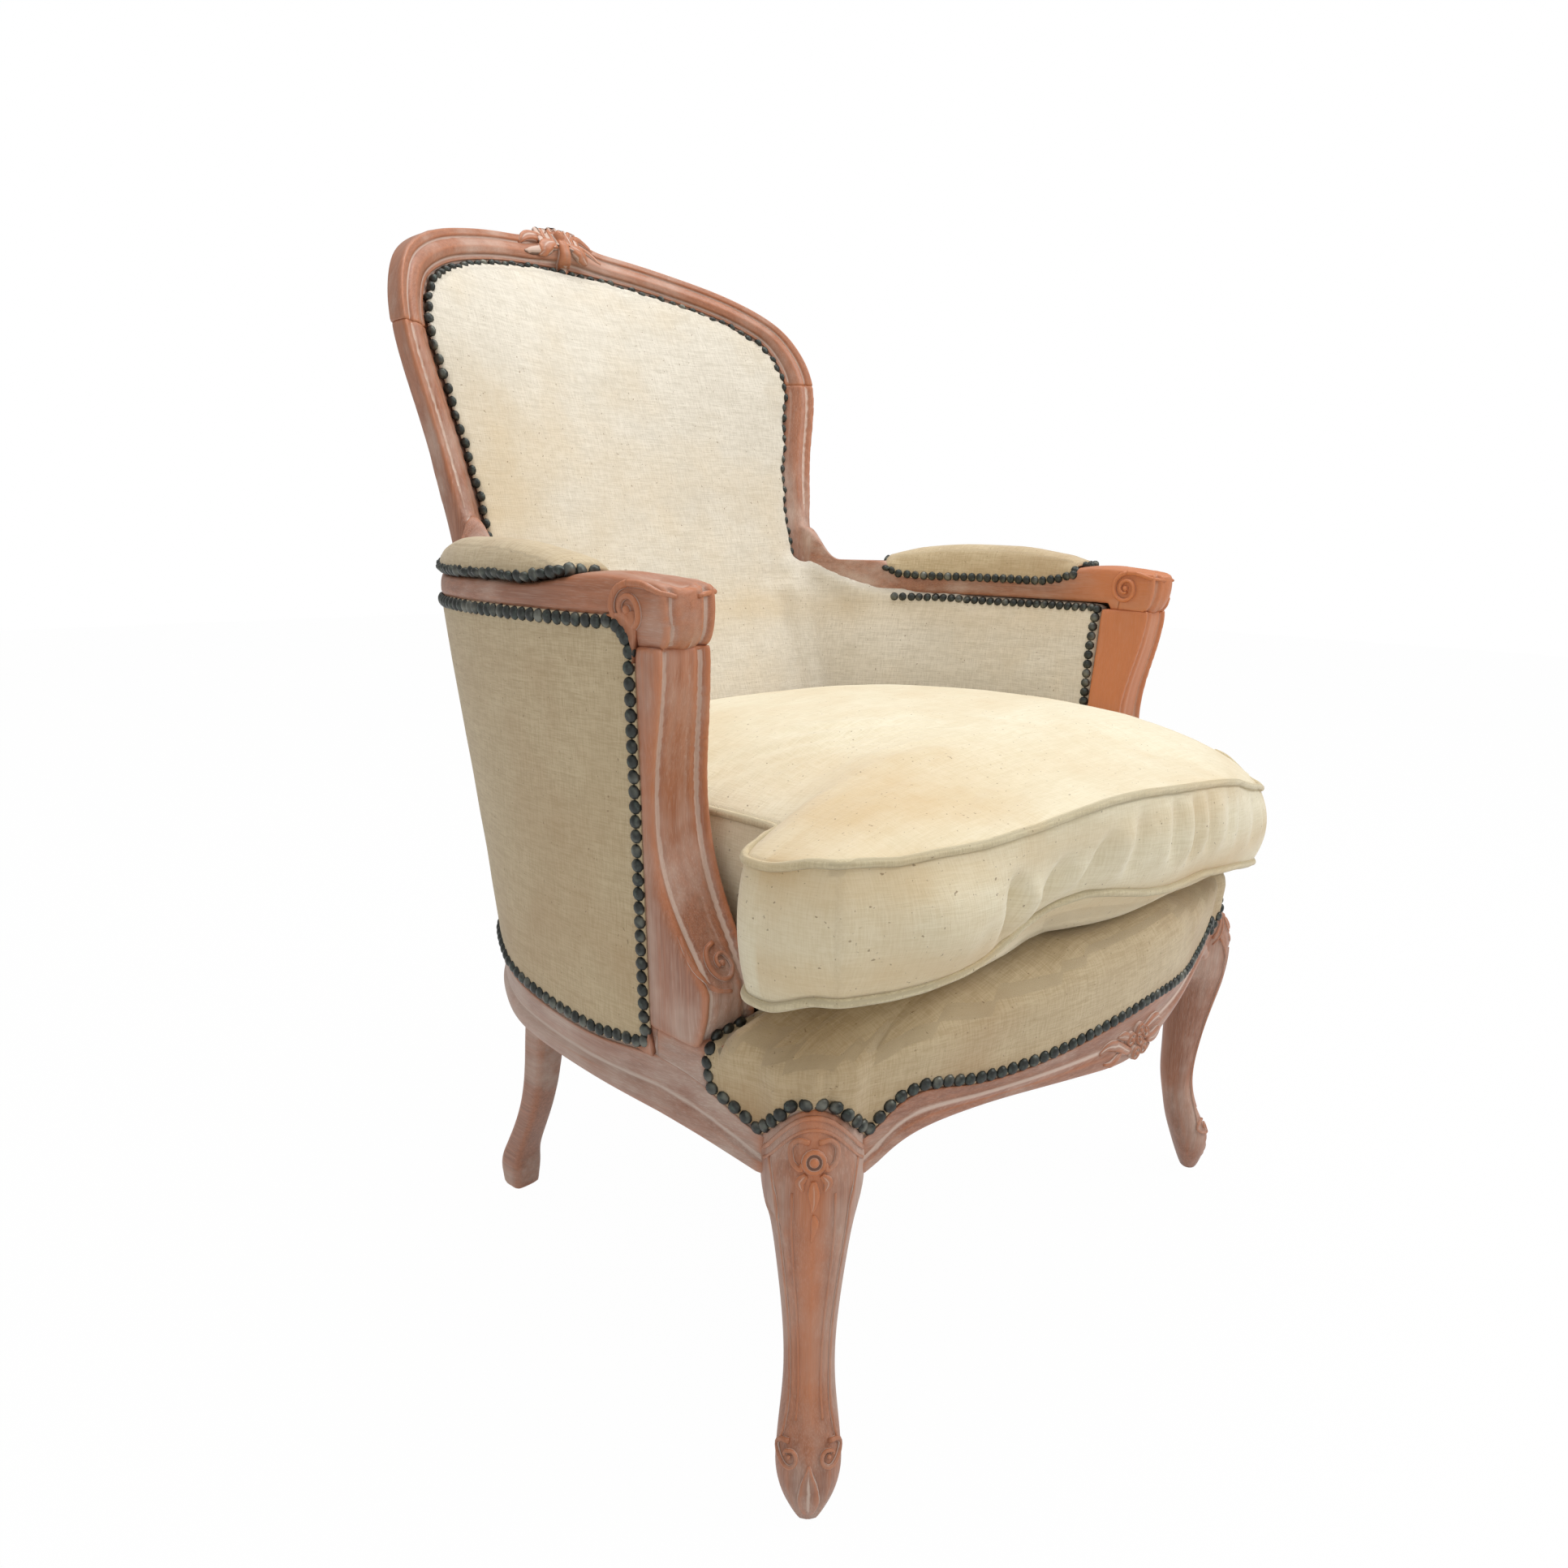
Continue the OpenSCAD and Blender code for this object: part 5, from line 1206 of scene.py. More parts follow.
@dataclass
class Covers:
    """The nailed covers and their stuffing."""

    finishes: Finishes
    # Where an arm pad's cloth starts to hang over the rail, and how far it hangs
    pad_foot: float = 0.663
    drop: float = 15 * MM
    # The level at which the arm rails are measured
    rail_middle: float = 0.635
    skins: dict[str, BVHTree] = field(default_factory=dict)

    def finish_cover(self, piece: bpy.types.Object, nodes: Sequence[str]) -> None:
        """Puts a cover on its body, in place of its nodes."""
        dress_cloth(piece)
        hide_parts(*nodes)
        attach(piece, "frame")
        self.skins[piece.name] = surface_of(piece)
        LOG.info("%s: %d faces", piece.name, len(piece.data.polygons))

    def sheet(self, name: str, node: str, finish: bpy.types.Material,
              slack: float = 0.5 * MM) -> None:
        """A cover stretched over an opening and nailed round its edge."""
        bm = copied([node])
        creased(bm, math.radians(50), 0.9)
        piece = added(bm, name, finish)
        subdivided(piece, 2)
        ripple(piece, slack, 22.0)
        self.finish_cover(piece, [node])

    def stuffed(self, name: str, nodes: Sequence[str], finish: bpy.types.Material, voxel: float,
                smooth: int, swell: float, rolls: Sequence[tuple[Vector, float]] = (),
                drape: Side | None = None) -> bpy.types.Object:
        """A stuffed cover made as one skin over one or more solids and the rolls between them."""
        bm = copied(nodes)
        for place, radius in rolls:
            bmesh.ops.create_icosphere(bm, subdivisions=2, radius=radius, matrix=Matrix.Translation(place))
        piece = added(bm, name, finish)
        remeshed(piece, voxel)
        pairs = edges_of(piece.data)
        move_points(piece.data, averaged(points_of(piece.data), pairs, smooth))
        if swell:
            puffed(piece, 4.0, swell)
        if drape is not None:
            co, normals = points_of(piece.data), normals_of(piece.data)
            hang = np.clip((self.pad_foot - co[:, 2]) / (9 * MM), 0, 1)
            hang *= np.clip(-normals[:, 0] * drape.value / 0.3, 0, 1)
            co[:, 2] -= self.drop * hang
            co[:, 0] -= 2.2 * MM * drape.value * hang
            move_points(piece.data, co)
        ripple(piece, 0.8 * MM, 18.0)
        x, y, z = points_of(piece.data).T
        # Painted shadow down the back's left edge near the top, and a darker band just below the level of the
        # arm rails
        edge = humps(x, -0.19, 0.05) * humps(z, 0.72, 0.09) * 0.5 * (y > 0.1)
        store(piece.data, "soil", edge + 0.3 * humps(z, 0.60, 0.02) * (z < 0.64))
        self.finish_cover(piece, nodes)
        return piece

    def corner_rolls(self) -> list[tuple[Vector, float]]:
        """Rolls of stuffing that carry the inner cover round the rear posts, as places and radii."""
        rolls = []
        for side in Side:
            tree = solid_of(f"rear_post_{side.word}")
            for k in range(46):
                z = 0.402 + k * 5.4 * MM
                front = tree.ray_cast(Vector((0.226 * side.value, -0.2, z)), Vector((0, 1, 0)))[0]
                if front is None:
                    continue
                inner = tree.ray_cast(Vector((0, front.y + 12 * MM, z)), Vector((side.value, 0, 0)))[0]
                if inner is None:
                    continue
                x = abs(inner.x)
                for across, behind, radius in ((-7, 7, 13), (4, 0, 9), (-14, 12, 13)):
                    place = Vector(((x + across * MM) * side.value, front.y + behind * MM, z))
                    rolls.append((place, radius * MM))
            tree = solid_of(f"arm_rail_{side.word}")
            for y in np.arange(0.02, 0.204, 0.005):
                face = tree.ray_cast(Vector((0, y, 0.64)), Vector((side.value, 0, 0)))[0]
                top = 0.621 + 0.004 * min(y / 0.08, 1) + 0.040 * (max(0, y - 0.08) / 0.12) ** 1.7
                if face is not None:
                    for z in np.arange(0.596, top - 0.009, 0.005):
                        rolls.append((Vector((face.x + 0.004 * side.value, y + 0.002, z)), 10 * MM))
        return rolls

    def build(self) -> None:
        """Builds every cover."""
        f = self.finishes
        for side in Side:
            word = side.word
            self.sheet(f"side_cover_{word}", f"outer_side_panel_{word}", f.outer)
            self.stuffed(f"arm_pad_cover_{word}", [f"arm_pad_{word}"], f.outer, 3 * MM, 3,
                         0, drape=side)
        self.sheet("back_outer_cover", "outer_back_panel", f.outer)
        self.sheet("dust_cloth", "dust_cover", f.dust)
        self.sheet("hessian_cloth", "seat_hessian", f.hessian)
        inner = ["back_pad", "inner_arm_pad_left", "inner_arm_pad_right"]
        self.stuffed("inner_cover", inner, f.inner, 5 * MM, 5, 0, self.corner_rolls())
        self.skins["deck_cover"] = Deck(f).build()

    def pad_edge(self, side: Side) -> Callable[[Vector], Vector]:
        """Where a nail of an arm pad's rim goes: down the rail's face on the inner side."""
        tree = solid_of(f"arm_rail_{side.word}")

        def shifted(p: Vector) -> Vector:
            """The nail's place for one point of the rim."""
            level = self.rail_middle
            inner = tree.ray_cast(Vector((0, p.y, level)), Vector((side.value, 0, 0)))[0]
            outer = tree.ray_cast(Vector((0.6 * side.value, p.y, level)), Vector((-side.value, 0, 0)))[0]
            if inner is None or outer is None or abs(p.x) > abs(inner.x + outer.x) / 2:
                return p
            near = min(1.0, abs(abs(p.x) - abs(inner.x + outer.x) / 2) / (14 * MM))
            return p + Vector((-2.5 * MM * side.value * near, 0, -11 * MM * near))

        return shifted

    def nail(self) -> None:
        """Drives every row of nails round the covers."""
        brass = self.finishes.nails
        for side in Side:
            word, out = side.word, side.value
            upper, lower = RoundedCorner(side, 1, 25 * MM), RoundedCorner(side, -1, 13 * MM)
            upper.build(self.finishes.frame)
            lower.build(self.finishes.washed)
            panel = NailRow(f"side_nails_{word}", [f"outer_side_panel_{word}"], (out, 0, 0),
                            shift=lambda p, a=upper, b=lower: a.shifted(b.shifted(p)))
            panel.build(brass, self.skins[f"side_cover_{word}"])
            pad = NailRow(f"arm_pad_nails_{word}", [f"arm_pad_{word}"], (0, 0, -1), inset=-0.5 * MM,
                          shift=self.pad_edge(side))
            pad.build(brass, self.skins[f"arm_pad_cover_{word}"])
            top = NailRow(f"inner_arm_nails_{word}", [f"inner_arm_pad_{word}"], (-out, 0, 0),
                          keep=lambda p: (p.z > 0.60 and p.y < 0.105) or p.y < -0.12)
            top.build(brass, self.skins["inner_cover"])
        back = NailRow("back_nails", ["back_pad"], (0, -1, 0), pitch=12.5 * MM, keep=lambda p: p.z > 0.645)
        back.build(brass, self.skins["inner_cover"])
        rear = NailRow("outer_back_nails", ["outer_back_panel"], (0, 1, 0), pitch=12.5 * MM)
        rear.build(brass, self.skins["back_outer_cover"])
        turn = ((332, -251, 327), (332, -251, 337), (331, -251, 347), (323, -250, 353), (313, -248, 355),
                (303, -246, 357))
        ends = [Vector((hand * x, y, z)) * MM for hand in (-1, 1) for x, y, z in turn]
        deck = NailRow("deck_nails", ["deck_border"], (0, -1, 0), keep=lambda p: p.z < 0.346, extra=ends)
        deck.build(brass, self.skins["deck_cover"])


def ripple(piece: bpy.types.Object, height: float, scale: float) -> None:
    """Loosens a cover by low waves along its normals."""
    co, normals = points_of(piece.data), normals_of(piece.data)
    waves = np.array([noise.noise(Vector(p) * scale) for p in co])
    move_points(piece.data, co + normals * (waves * height)[:, None])


def puffed(piece: bpy.types.Object, pressure: float, cap: float, held: np.ndarray | None = None) -> None:
    """Swells a closed skin as cloth under pressure, with each point's way capped.

    Args:
        piece: the closed skin.
        pressure: the air pressure inside.
        cap: the most that a point may move.
        held: how firmly each point is held in place, from 0 to 1.
    """
    rest = points_of(piece.data)
    cloth = piece.modifiers.new("Cloth", "CLOTH")
    settings = cloth.settings
    settings.quality = 4
    settings.use_pressure = True
    settings.uniform_pressure_force = pressure
    settings.effector_weights.gravity = 0
    if held is not None:
        group = piece.vertex_groups.new(name="held")
        for i in np.flatnonzero(held > 0.01):
            group.add([int(i)], float(held[i]), "REPLACE")
        settings.vertex_group_mass = group.name
    for step in range(1, 21):
        bpy.context.scene.frame_set(step)
    graph = bpy.context.evaluated_depsgraph_get()
    moved = points_of(piece.evaluated_get(graph).data)
    piece.modifiers.remove(cloth)
    bpy.context.scene.frame_set(1)
    way = moved - rest
    length = np.linalg.norm(way, axis=1).clip(1e-9)
    move_points(piece.data, rest + way * (cap * np.tanh(length / cap) / length)[:, None])


def cord_ring(points: Sequence[Vector], radius: float, name: str, material: bpy.types.Material,
              sides: int = 3) -> bpy.types.Object:
    """A closed round cord along points, as a mesh at the origin."""
    curve = bpy.data.curves.new(name, "CURVE")
    curve.dimensions = "3D"
    curve.bevel_depth = radius
    curve.bevel_resolution = sides
    spline = curve.splines.new("POLY")
    spline.points.add(len(points) - 1)
    for target, point in zip(spline.points, points):
        target.co = (*point, 1.0)
    spline.use_cyclic_u = True
    holder = bpy.data.objects.new(name + "_line", curve)
    bpy.context.scene.collection.objects.link(holder)
    graph = bpy.context.evaluated_depsgraph_get()
    mesh = bpy.data.meshes.new_from_object(holder.evaluated_get(graph))
    bpy.data.objects.remove(holder)
    bpy.data.curves.remove(curve)
    bm = bmesh.new()
    bm.from_mesh(mesh)
    bpy.data.meshes.remove(mesh)
    return added(bm, name, material)


@dataclass
class Wall:
    """The upright walls of soft nodes, looked up round a vertical axis. Lengths are in metres."""

    nodes: Sequence[str]
    axis: tuple[float, float]
    count: int
    reach: float = 0.6
    tree: BVHTree = field(init=False)

    def __post_init__(self) -> None:
        """Builds the search tree of the nodes."""
        self.tree = solid_of(*self.nodes)

    def radius(self, angle: float, z: float) -> float:
        """How far the wall lies from the axis at a height, or 0 where there is none."""
        way = Vector((math.cos(angle), math.sin(angle), 0))
        start = Vector((*self.axis, z)) + way * self.reach
        place, _, _, distance = self.tree.ray_cast(start, -way, self.reach)
        return 0.0 if place is None else self.reach - distance

    def at(self, angle: float, radius: float, z: float) -> Vector:
        """The point at an angle, a radius and a height."""
        return Vector((self.axis[0] + radius * math.cos(angle), self.axis[1] + radius * math.sin(angle), z))

    def angles(self, z: float) -> list[float]:
        """Angles whose points on the wall are evenly spaced."""
        turns = np.linspace(-math.pi, math.pi, 1081)[:-1]
        radii = np.array([self.radius(a, z) for a in turns])
        radii[radii == 0] = radii[radii > 0].mean()
        points = np.stack([np.cos(turns), np.sin(turns)], 1) * radii[:, None]
        steps = np.linalg.norm(np.roll(points, -1, 0) - points, axis=1)
        travelled = np.concatenate([[0], np.cumsum(steps)])
        goals = np.linspace(0, travelled[-1], self.count + 1)[:-1]
        return list(np.interp(goals, travelled, np.append(turns, math.pi)))

    def height(self, x: float, y: float, down: bool) -> float | None:
        """Height of the nodes' top or underside at a place."""
        start = Vector((x, y, 1.0 if down else 0.0))
        place, _, _, _ = self.tree.ray_cast(start, Vector((0, 0, -1 if down else 1)))
        return None if place is None else place.z


def lofted(rows: Sequence[Sequence[Vector]]) -> bmesh.types.BMesh:
    """A closed skin through rings of points, with a point in the middle of each end."""
    bm = bmesh.new()
    rings = [[bm.verts.new(p) for p in row] for row in rows]
    n = len(rings[0])
    for a, b in zip(rings, rings[1:]):
        for k in range(n):
            bm.faces.new((a[k], a[(k + 1) % n], b[(k + 1) % n], b[k]))
    for ring in (rings[0], rings[-1]):
        middle = bm.verts.new(sum((v.co for v in ring), Vector()) / n)
        for k in range(n):
            bm.faces.new((ring[k], ring[(k + 1) % n], middle))
    return bm


def evened(row: Sequence[Vector], passes: int) -> list[Vector]:
    """A ring of points with its small bends evened out."""
    points = np.array(row)
    for _ in range(passes):
        points = 0.5 * points + 0.25 * (np.roll(points, 1, 0) + np.roll(points, -1, 0))
    return [Vector(p) for p in points]


def outward(row: Sequence[Vector]) -> list[Vector]:
    """Level directions that point out of a ring."""
    n = len(row)
    made = []
    for k in range(n):
        along = row[(k + 1) % n] - row[k - 1]
        made.append(Vector((along.y, -along.x, 0)).normalized())
    return made


def bell(x: float, middle: float, width: float) -> float:
    """A smooth hump of height 1."""
    return math.exp(-((x - middle) / width) ** 2)


@dataclass
class Deck:
    """The stuffed seat under the cushion, covered down to the nails on the rails."""

    finishes: Finishes
    count: int = 460
    heart: tuple[float, float] = (0, -0.290)
    plane: float = 0.353
    lowest: float = 0.285
    lip: float = 2.2 * MM
    # The rings of points, as shares of the edge's height and of the way out from the heart
    edge_steps: tuple[float, ...] = (0, 0.06, 0.14, 0.24, 0.34, 0.44, 0.54, 0.64, 0.74, 0.84, 0.92, 1.0)
    top_steps: tuple[float, ...] = (0.975, 0.95, 0.92, 0.88, 0.83, 0.77, 0.7, 0.6, 0.48, 0.34, 0.2, 0.08)

    def build(self) -> BVHTree:
        """Builds the cover and returns its surface."""
        wall = Wall(["seat_deck", "deck_border"], self.heart, self.count)
        border = Wall(["deck_border"], self.heart, self.count)
        angles = wall.angles(0.345)
        edge = [self.edge_line(wall, a, self.foot(border, a)) for a in angles]
        rows = [[wall.at(a, *line[k]) for a, line in zip(angles, edge)] for k in range(len(self.edge_steps))]
        foot_row = [wall.at(a, line[0][0] - self.lip, line[0][1]) for a, line in zip(angles, edge)]
        under = [wall.at(a, line[0][0] - 12 * MM, self.plane) for a, line in zip(angles, edge)]
        top_rows = []
        for f in self.top_steps:
            ring = []
            for a, line in zip(angles, edge):
                p = wall.at(a, line[-1][0] * f, 0)
                z = wall.height(p.x, p.y, True)
                p.z = line[-1][1] if z is None else max(z, line[0][1])
                ring.append(p)
            top_rows.append(ring)
        middle = Vector((*self.heart, self.plane))
        shrunk = [[p.lerp(middle, f) for p in under] for f in (0.9, 0.6, 0.25)]
        bm = lofted(shrunk + [under, foot_row] + rows + top_rows)
        piece = added(bm, "deck_cover", self.finishes.outer)
        self.loosen(piece)
        dress_cloth(piece)
        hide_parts("seat_deck", "deck_border")
        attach(piece, "frame")
        LOG.info("deck_cover: %d faces", len(piece.data.polygons))
        return surface_of(piece)

    def foot(self, border: Wall, angle: float) -> float:
        """The height of the nailed band's lower edge at an angle, up to the deck's plane."""
        levels = (self.lowest + i * 0.5 * MM for i in range(150))
        return min(next((z for z in levels if border.radius(angle, z)), self.plane), self.plane)

    def edge_line(self, wall: Wall, angle: float, foot: float) -> list[tuple[float, float]]:
        """Radii and heights up the edge at an angle, from its foot to the top of the roll."""
        levels = [self.plane + i * 0.6 * MM for i in range(60)]
        top = max((z for z in levels if wall.radius(angle, z)), default=self.plane)
        last = wall.radius(angle, self.plane + 0.5 * MM) or 0.3
        line = []
        for t in self.edge_steps:
            z = foot + (top - foot) * t
            last = wall.radius(angle, z) or last
            line.append((last, z))
        return line

    def loosen(self, piece: bpy.types.Object) -> None:
        """Rounds the roll, swells the front and folds the cloth into pleats over the knees."""
        pairs = edges_of(piece.data)
        co = points_of(piece.data)
        soft = np.clip((co[:, 2] - 0.342) / 0.02, 0, 1)[:, None]
        co = co * (1 - soft) + averaged(co, pairs, 8) * soft
        move_points(piece.data, co)
        normals = normals_of(piece.data)
        push, soil = np.zeros(len(co)), np.zeros(len(co))
        for i, (x, y, z) in enumerate(co):
            front = bell(z, 0.352, 0.02) if y < -0.2 else 0.0
            push[i] += 3.0 * front
            along = (abs(x) - 0.298 + y + 0.318) * 0.7071
            if y < -0.27 and abs(x) > 0.24:
                rise = min(max((z - 0.318) / 0.05, 0), 1)
                for place, depth, slope in ((-0.011, -3.6, 0.006), (0.013, -3.6, -0.004), (0.001, 2.2, 0.0)):
                    fold = bell(along, place + slope * rise, 0.0028) * (1 - rise * 0.6) * (z < 0.385)
                    push[i] += depth * fold
                push[i] += 1.2 * math.sin(z * 520) * bell(along, 0.001, 0.009) * (1 - rise)
            # Darker at the left front corner and towards the bottom of the front
            low = (y < -0.25) * max(0, (0.335 - z) / 0.03)
            soil[i] = 0.35 * bell(x, -0.30, 0.05) * bell(y, -0.30, 0.06) + 0.35 * low
            push[i] += 4.0 * bell(abs(x), 0.320, 0.014) * bell(y, -0.264, 0.016) * bell(z, 0.354, 0.012)
            push[i] += 1.4 * noise.noise(Vector((x, y, z)) * 16)
        move_points(piece.data, co + normals * (push * MM)[:, None])
        store(piece.data, "soil", np.clip(soil, 0, 1))


@dataclass
class Cushion:
    """The loose seat cushion: a T outline with piped, buckled boxing."""

    finishes: Finishes
    count: int = 560
    axis: tuple[float, float] = (0, -0.215)
    belt: float = 0.44
    piping: float = 3.2 * MM
    piping_out: float = 1.6 * MM
    seam_inset: float = 1.5 * MM
    heart: float = -0.305
    # How much wider the front ears are than the frame's, where that starts and over what length
    ear_stretch: float = 0.085
    ear_start: float = 0.262
    ear_run: float = 0.02
    box_rows: int = 17
    fold_depth: float = 1.35
    # Where the rings of the underside lie, as shares of the way from its middle to the piping
    under_steps: tuple[float, ...] = (0.12, 0.35, 0.55, 0.72, 0.84, 0.92, 0.965, 0.99)
    # Where the rings of the top panel lie, as shares of the way from its middle to the piping
    steps: tuple[float, ...] = (
        0.985, 0.965, 0.94, 0.91, 0.87, 0.82, 0.76, 0.69, 0.61, 0.52, 0.42, 0.32, 0.21, 0.1)
    # Along the front in millimetres: X, how far the lower seam has crept up and how far in
    creep: tuple[tuple[float, float, float], ...] = (
        (-320, 16, 0), (-290, 12, 0), (-240, 13, 0), (-212, 17, 3), (-186, 23, 14), (-160, 28, 26),
        (-130, 36, 28), (-100, 43, 16), (-66, 39, 7), (-30, 32, 3), (0, 28, 2), (60, 27, 2), (120, 17, 1),
        (200, 7, 0), (310, -4, 0))
    # How far the upper seam rides up along the front: X and height
    rise: tuple[tuple[float, float], ...] = (
        (-320, 12), (-250, 8), (-200, 10), (-150, 17), (-100, 24), (-50, 23), (0, 18), (50, 12), (100, 6),
        (150, 1), (230, -6), (310, -15))
    # Folds of the front boxing: X, width, depth, slant, lowest and highest share of its height
    folds: tuple[tuple[float, float, float, float, float, float], ...] = (
        (-186, 9, -11, -16, 0.0, 0.72), (-168, 11, 7, -10, 0.0, 0.6), (-148, 8, -7, 10, 0.0, 0.62),
        (-128, 9, 5, 14, 0.0, 0.5), (-112, 7, -5, 18, 0.05, 0.7), (-88, 9, 4, 12, 0.0, 0.8),
        (-66, 8, -4, 8, 0.1, 0.9), (-34, 9, 2.5, 4, 0.2, 1.0), (-16, 7, -3.5, 3, 0.25, 1.0),
        (2, 7, 3, 2, 0.2, 1.0), (18, 6, -3.2, 1, 0.2, 1.0),
        (34, 7, 2.6, 0, 0.25, 1.0), (50, 6, -2.8, -2, 0.25, 1.0), (70, 9, 2.4, -3, 0.2, 1.0),
        (96, 8, -2, -4, 0.3, 1.0), (120, 6, -1.8, -6, 0.2, 1.0), (150, 16, 2, -8, 0.1, 0.9),
        (188, 10, -2, -10, 0.2, 1.0), (212, 6, 1.6, -10, 0.3, 1.0), (228, 6, -1.8, -10, 0.3, 1.0),
        (246, 8, 1.6, -8, 0.3, 1.0), (-262, 22, 3, 0, 0.2, 0.9), (-226, 9, -3, 12, 0.0, 0.5))

    def seams(self, wall: Wall, angles: Sequence[float]) -> tuple[list, list]:
        """The lower and upper seams, where the frame's cushion is piped."""
        low, high = [], []
        for a in angles:
            line = [(wall.radius(a, 0.345 + i * MM), 0.345 + i * MM) for i in range(165)]
            most = max(r for r, _ in line)
            line = [(r, z) for r, z in line if r > 0.93 * most]
            foot, head = line[0][1], line[-1][1]
            low.append(max(p for p in line if p[1] < foot + 11 * MM))
            high.append(max(p for p in line if p[1] > head - 11 * MM))
        return low, high

    def build(self) -> None:
        """Builds the cushion and both its pipings."""
        wall = Wall(["seat_cushion"], self.axis, self.count)
        angles = wall.angles(self.belt)
        low, high = self.seams(wall, angles)
        foot, head, weight = self.settled(wall, angles, low, high)
        out = outward(head)
        n = len(angles)
        rows = [[self.under(wall, foot[i], low[i][1], f) for i in range(n)] for f in self.under_steps]
        rows.append(foot)
        for t in np.linspace(0, 1, self.box_rows + 2)[1:-1]:
            rows.append([self.boxing(foot[i], head[i], out[i], float(t), weight[i]) for i in range(n)])
        rows.append(head)
        rows += [[self.crown(wall, point, f) for point in head] for f in self.steps]
        lower = len(self.under_steps)
        upper = lower + self.box_rows + 1
        piece = added(lofted(rows), "loose_cushion", self.finishes.cushion)
        self.domed(piece, n, upper)
        firm = np.zeros(len(piece.data.vertices))
        firm[:(lower - 1) * n] = 1
        firm[lower * n:(lower + 1) * n] = 1
        firm[upper * n:(upper + 1) * n] = 1
        puffed(piece, 3.0, 12 * MM, firm)
        self.crumple(piece)
        dress_cloth(piece)
        for name, start in (("cushion_piping_lower", lower), ("cushion_piping_upper", upper)):
            points = points_of(piece.data)[start * n:(start + 1) * n]
            line = [Vector(p) + out[i] * self.piping_out for i, p in enumerate(points)]
            cord = cord_ring(line, self.piping, name, self.finishes.piping)
            dress_cloth(cord)
            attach(cord, "cushion")
        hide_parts("seat_cushion")
        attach(piece, "cushion")
        LOG.info("loose_cushion: %d faces", len(piece.data.polygons))

    def settled(self, wall: Wall, angles: Sequence[float], low: list,
                high: list) -> tuple[list[Vector], list[Vector], list[float]]:
        """The seams as they sit after use.

        Args:
            wall: the walls of the frame's cushion.
            angles: the angles of the seams' points.
            low: radius and height of the frame's lower seam at each angle.
            high: the same for its upper seam.

        Returns:
            The lower seam, the upper seam and how much each point belongs to the front.
        """
        creep, rise = np.array(self.creep), np.array(self.rise)
        foot, head, weight = [], [], []
        for a, (r0, z0), (r1, z1) in zip(angles, low, high):
            p, q = wall.at(a, r0 - self.seam_inset, z0), wall.at(a, r1 - self.seam_inset, z1)
            front = min(max((-p.y - 0.31) / 0.03, 0), 1) * (math.sin(a) < 0)
            lift = np.interp(p.x / MM, creep[:, 0], creep[:, 1]) * MM * front
            tuck = np.interp(p.x / MM, creep[:, 0], creep[:, 2]) * MM * front
            q.z += np.interp(q.x / MM, rise[:, 0], rise[:, 1]) * MM * front
            p = wall.at(a, r0 - self.seam_inset - tuck, z0 + lift)
            for point in (p, q):
                point.x *= 1 + self.ear_stretch * min(max((-point.y - self.ear_start) / self.ear_run, 0), 1)
            foot.append(p)
            head.append(q)
            weight.append(front)
        return evened(foot, 5), evened(head, 4), weight

    def domed(self, piece: bpy.types.Object, n: int, upper: int) -> None:
        """Evens the top panel's heights, the more the nearer to its middle.

        Args:
            piece: the cushion.
            n: the number of points in a ring.
            upper: the number of the ring at the upper seam.
        """
        co = points_of(piece.data)
        inside = np.clip((np.arange(len(co)) // n - upper) / 5, 0, 1)
        co[:, 2] = co[:, 2] * (1 - inside) + averaged(co[:, 2], edges_of(piece.data), 16) * inside
        crown = slice((upper + 1) * n, (upper + 1 + len(self.steps)) * n)
        level = co[crown, 2].reshape(len(self.steps), n)
        share = (1 - np.array(self.steps))[:, None] ** 2.2
        co[crown, 2] = (level * (1 - share) + level.mean(axis=1, keepdims=True) * share).ravel()
        move_points(piece.data, co)

    def under(self, wall: Wall, foot: Vector, base: float, f: float) -> Vector:
        """A point of the underside, drawn to the lower seam near its edge."""
        p = foot.lerp(Vector((0, self.heart, foot.z)), 1 - f)
        z = wall.height(p.x, p.y, False)
        z = base - 3 * MM if z is None else z
        share = max(0.0, (f - 0.55) / 0.45) ** 2
        p.z = z * (1 - share) + foot.z * share
        return p

    def boxing(self, foot: Vector, head: Vector, out: Vector, t: float, front: float) -> Vector:
        """A point of the boxing between the seams, bulged and folded."""
        p = foot.lerp(head, t)
        x = p.x / MM
        push = (7.0 + 3.0 * front) * math.sin(math.pi * t) ** 0.8
        if front:
            push += front * 9 * bell(x, -232, 36) * math.sin(math.pi * min(1, t * 1.15))
            for place, width, depth, slant, start, end in self.folds:
                span = min(max((t - start) / 0.18, 0), 1) * min(max((end - t) / 0.22, 0), 1)
                span *= 0.25 + 0.75 * math.sin(math.pi * t)
                push += front * self.fold_depth * depth * bell(x, place + slant * t, width) * span
        return p + out * (push * MM)

    def crown(self, wall: Wall, head: Vector, f: float) -> Vector:
        """A point of the top panel, puffed up just inside the piping."""
        p = Vector((0, self.heart, 0)).lerp(Vector((head.x, head.y, 0)), f)
        z = wall.height(p.x, p.y, True)
        z = head.z if z is None else z
        near = min(max((f - 0.9) / 0.1, 0), 1)
        rise = head.z + (30 + 80 * (1 - f)) * MM * (1 - f ** 9)
        p.z = max(z * (1 - near) + head.z * near, min(rise, z))
        return p

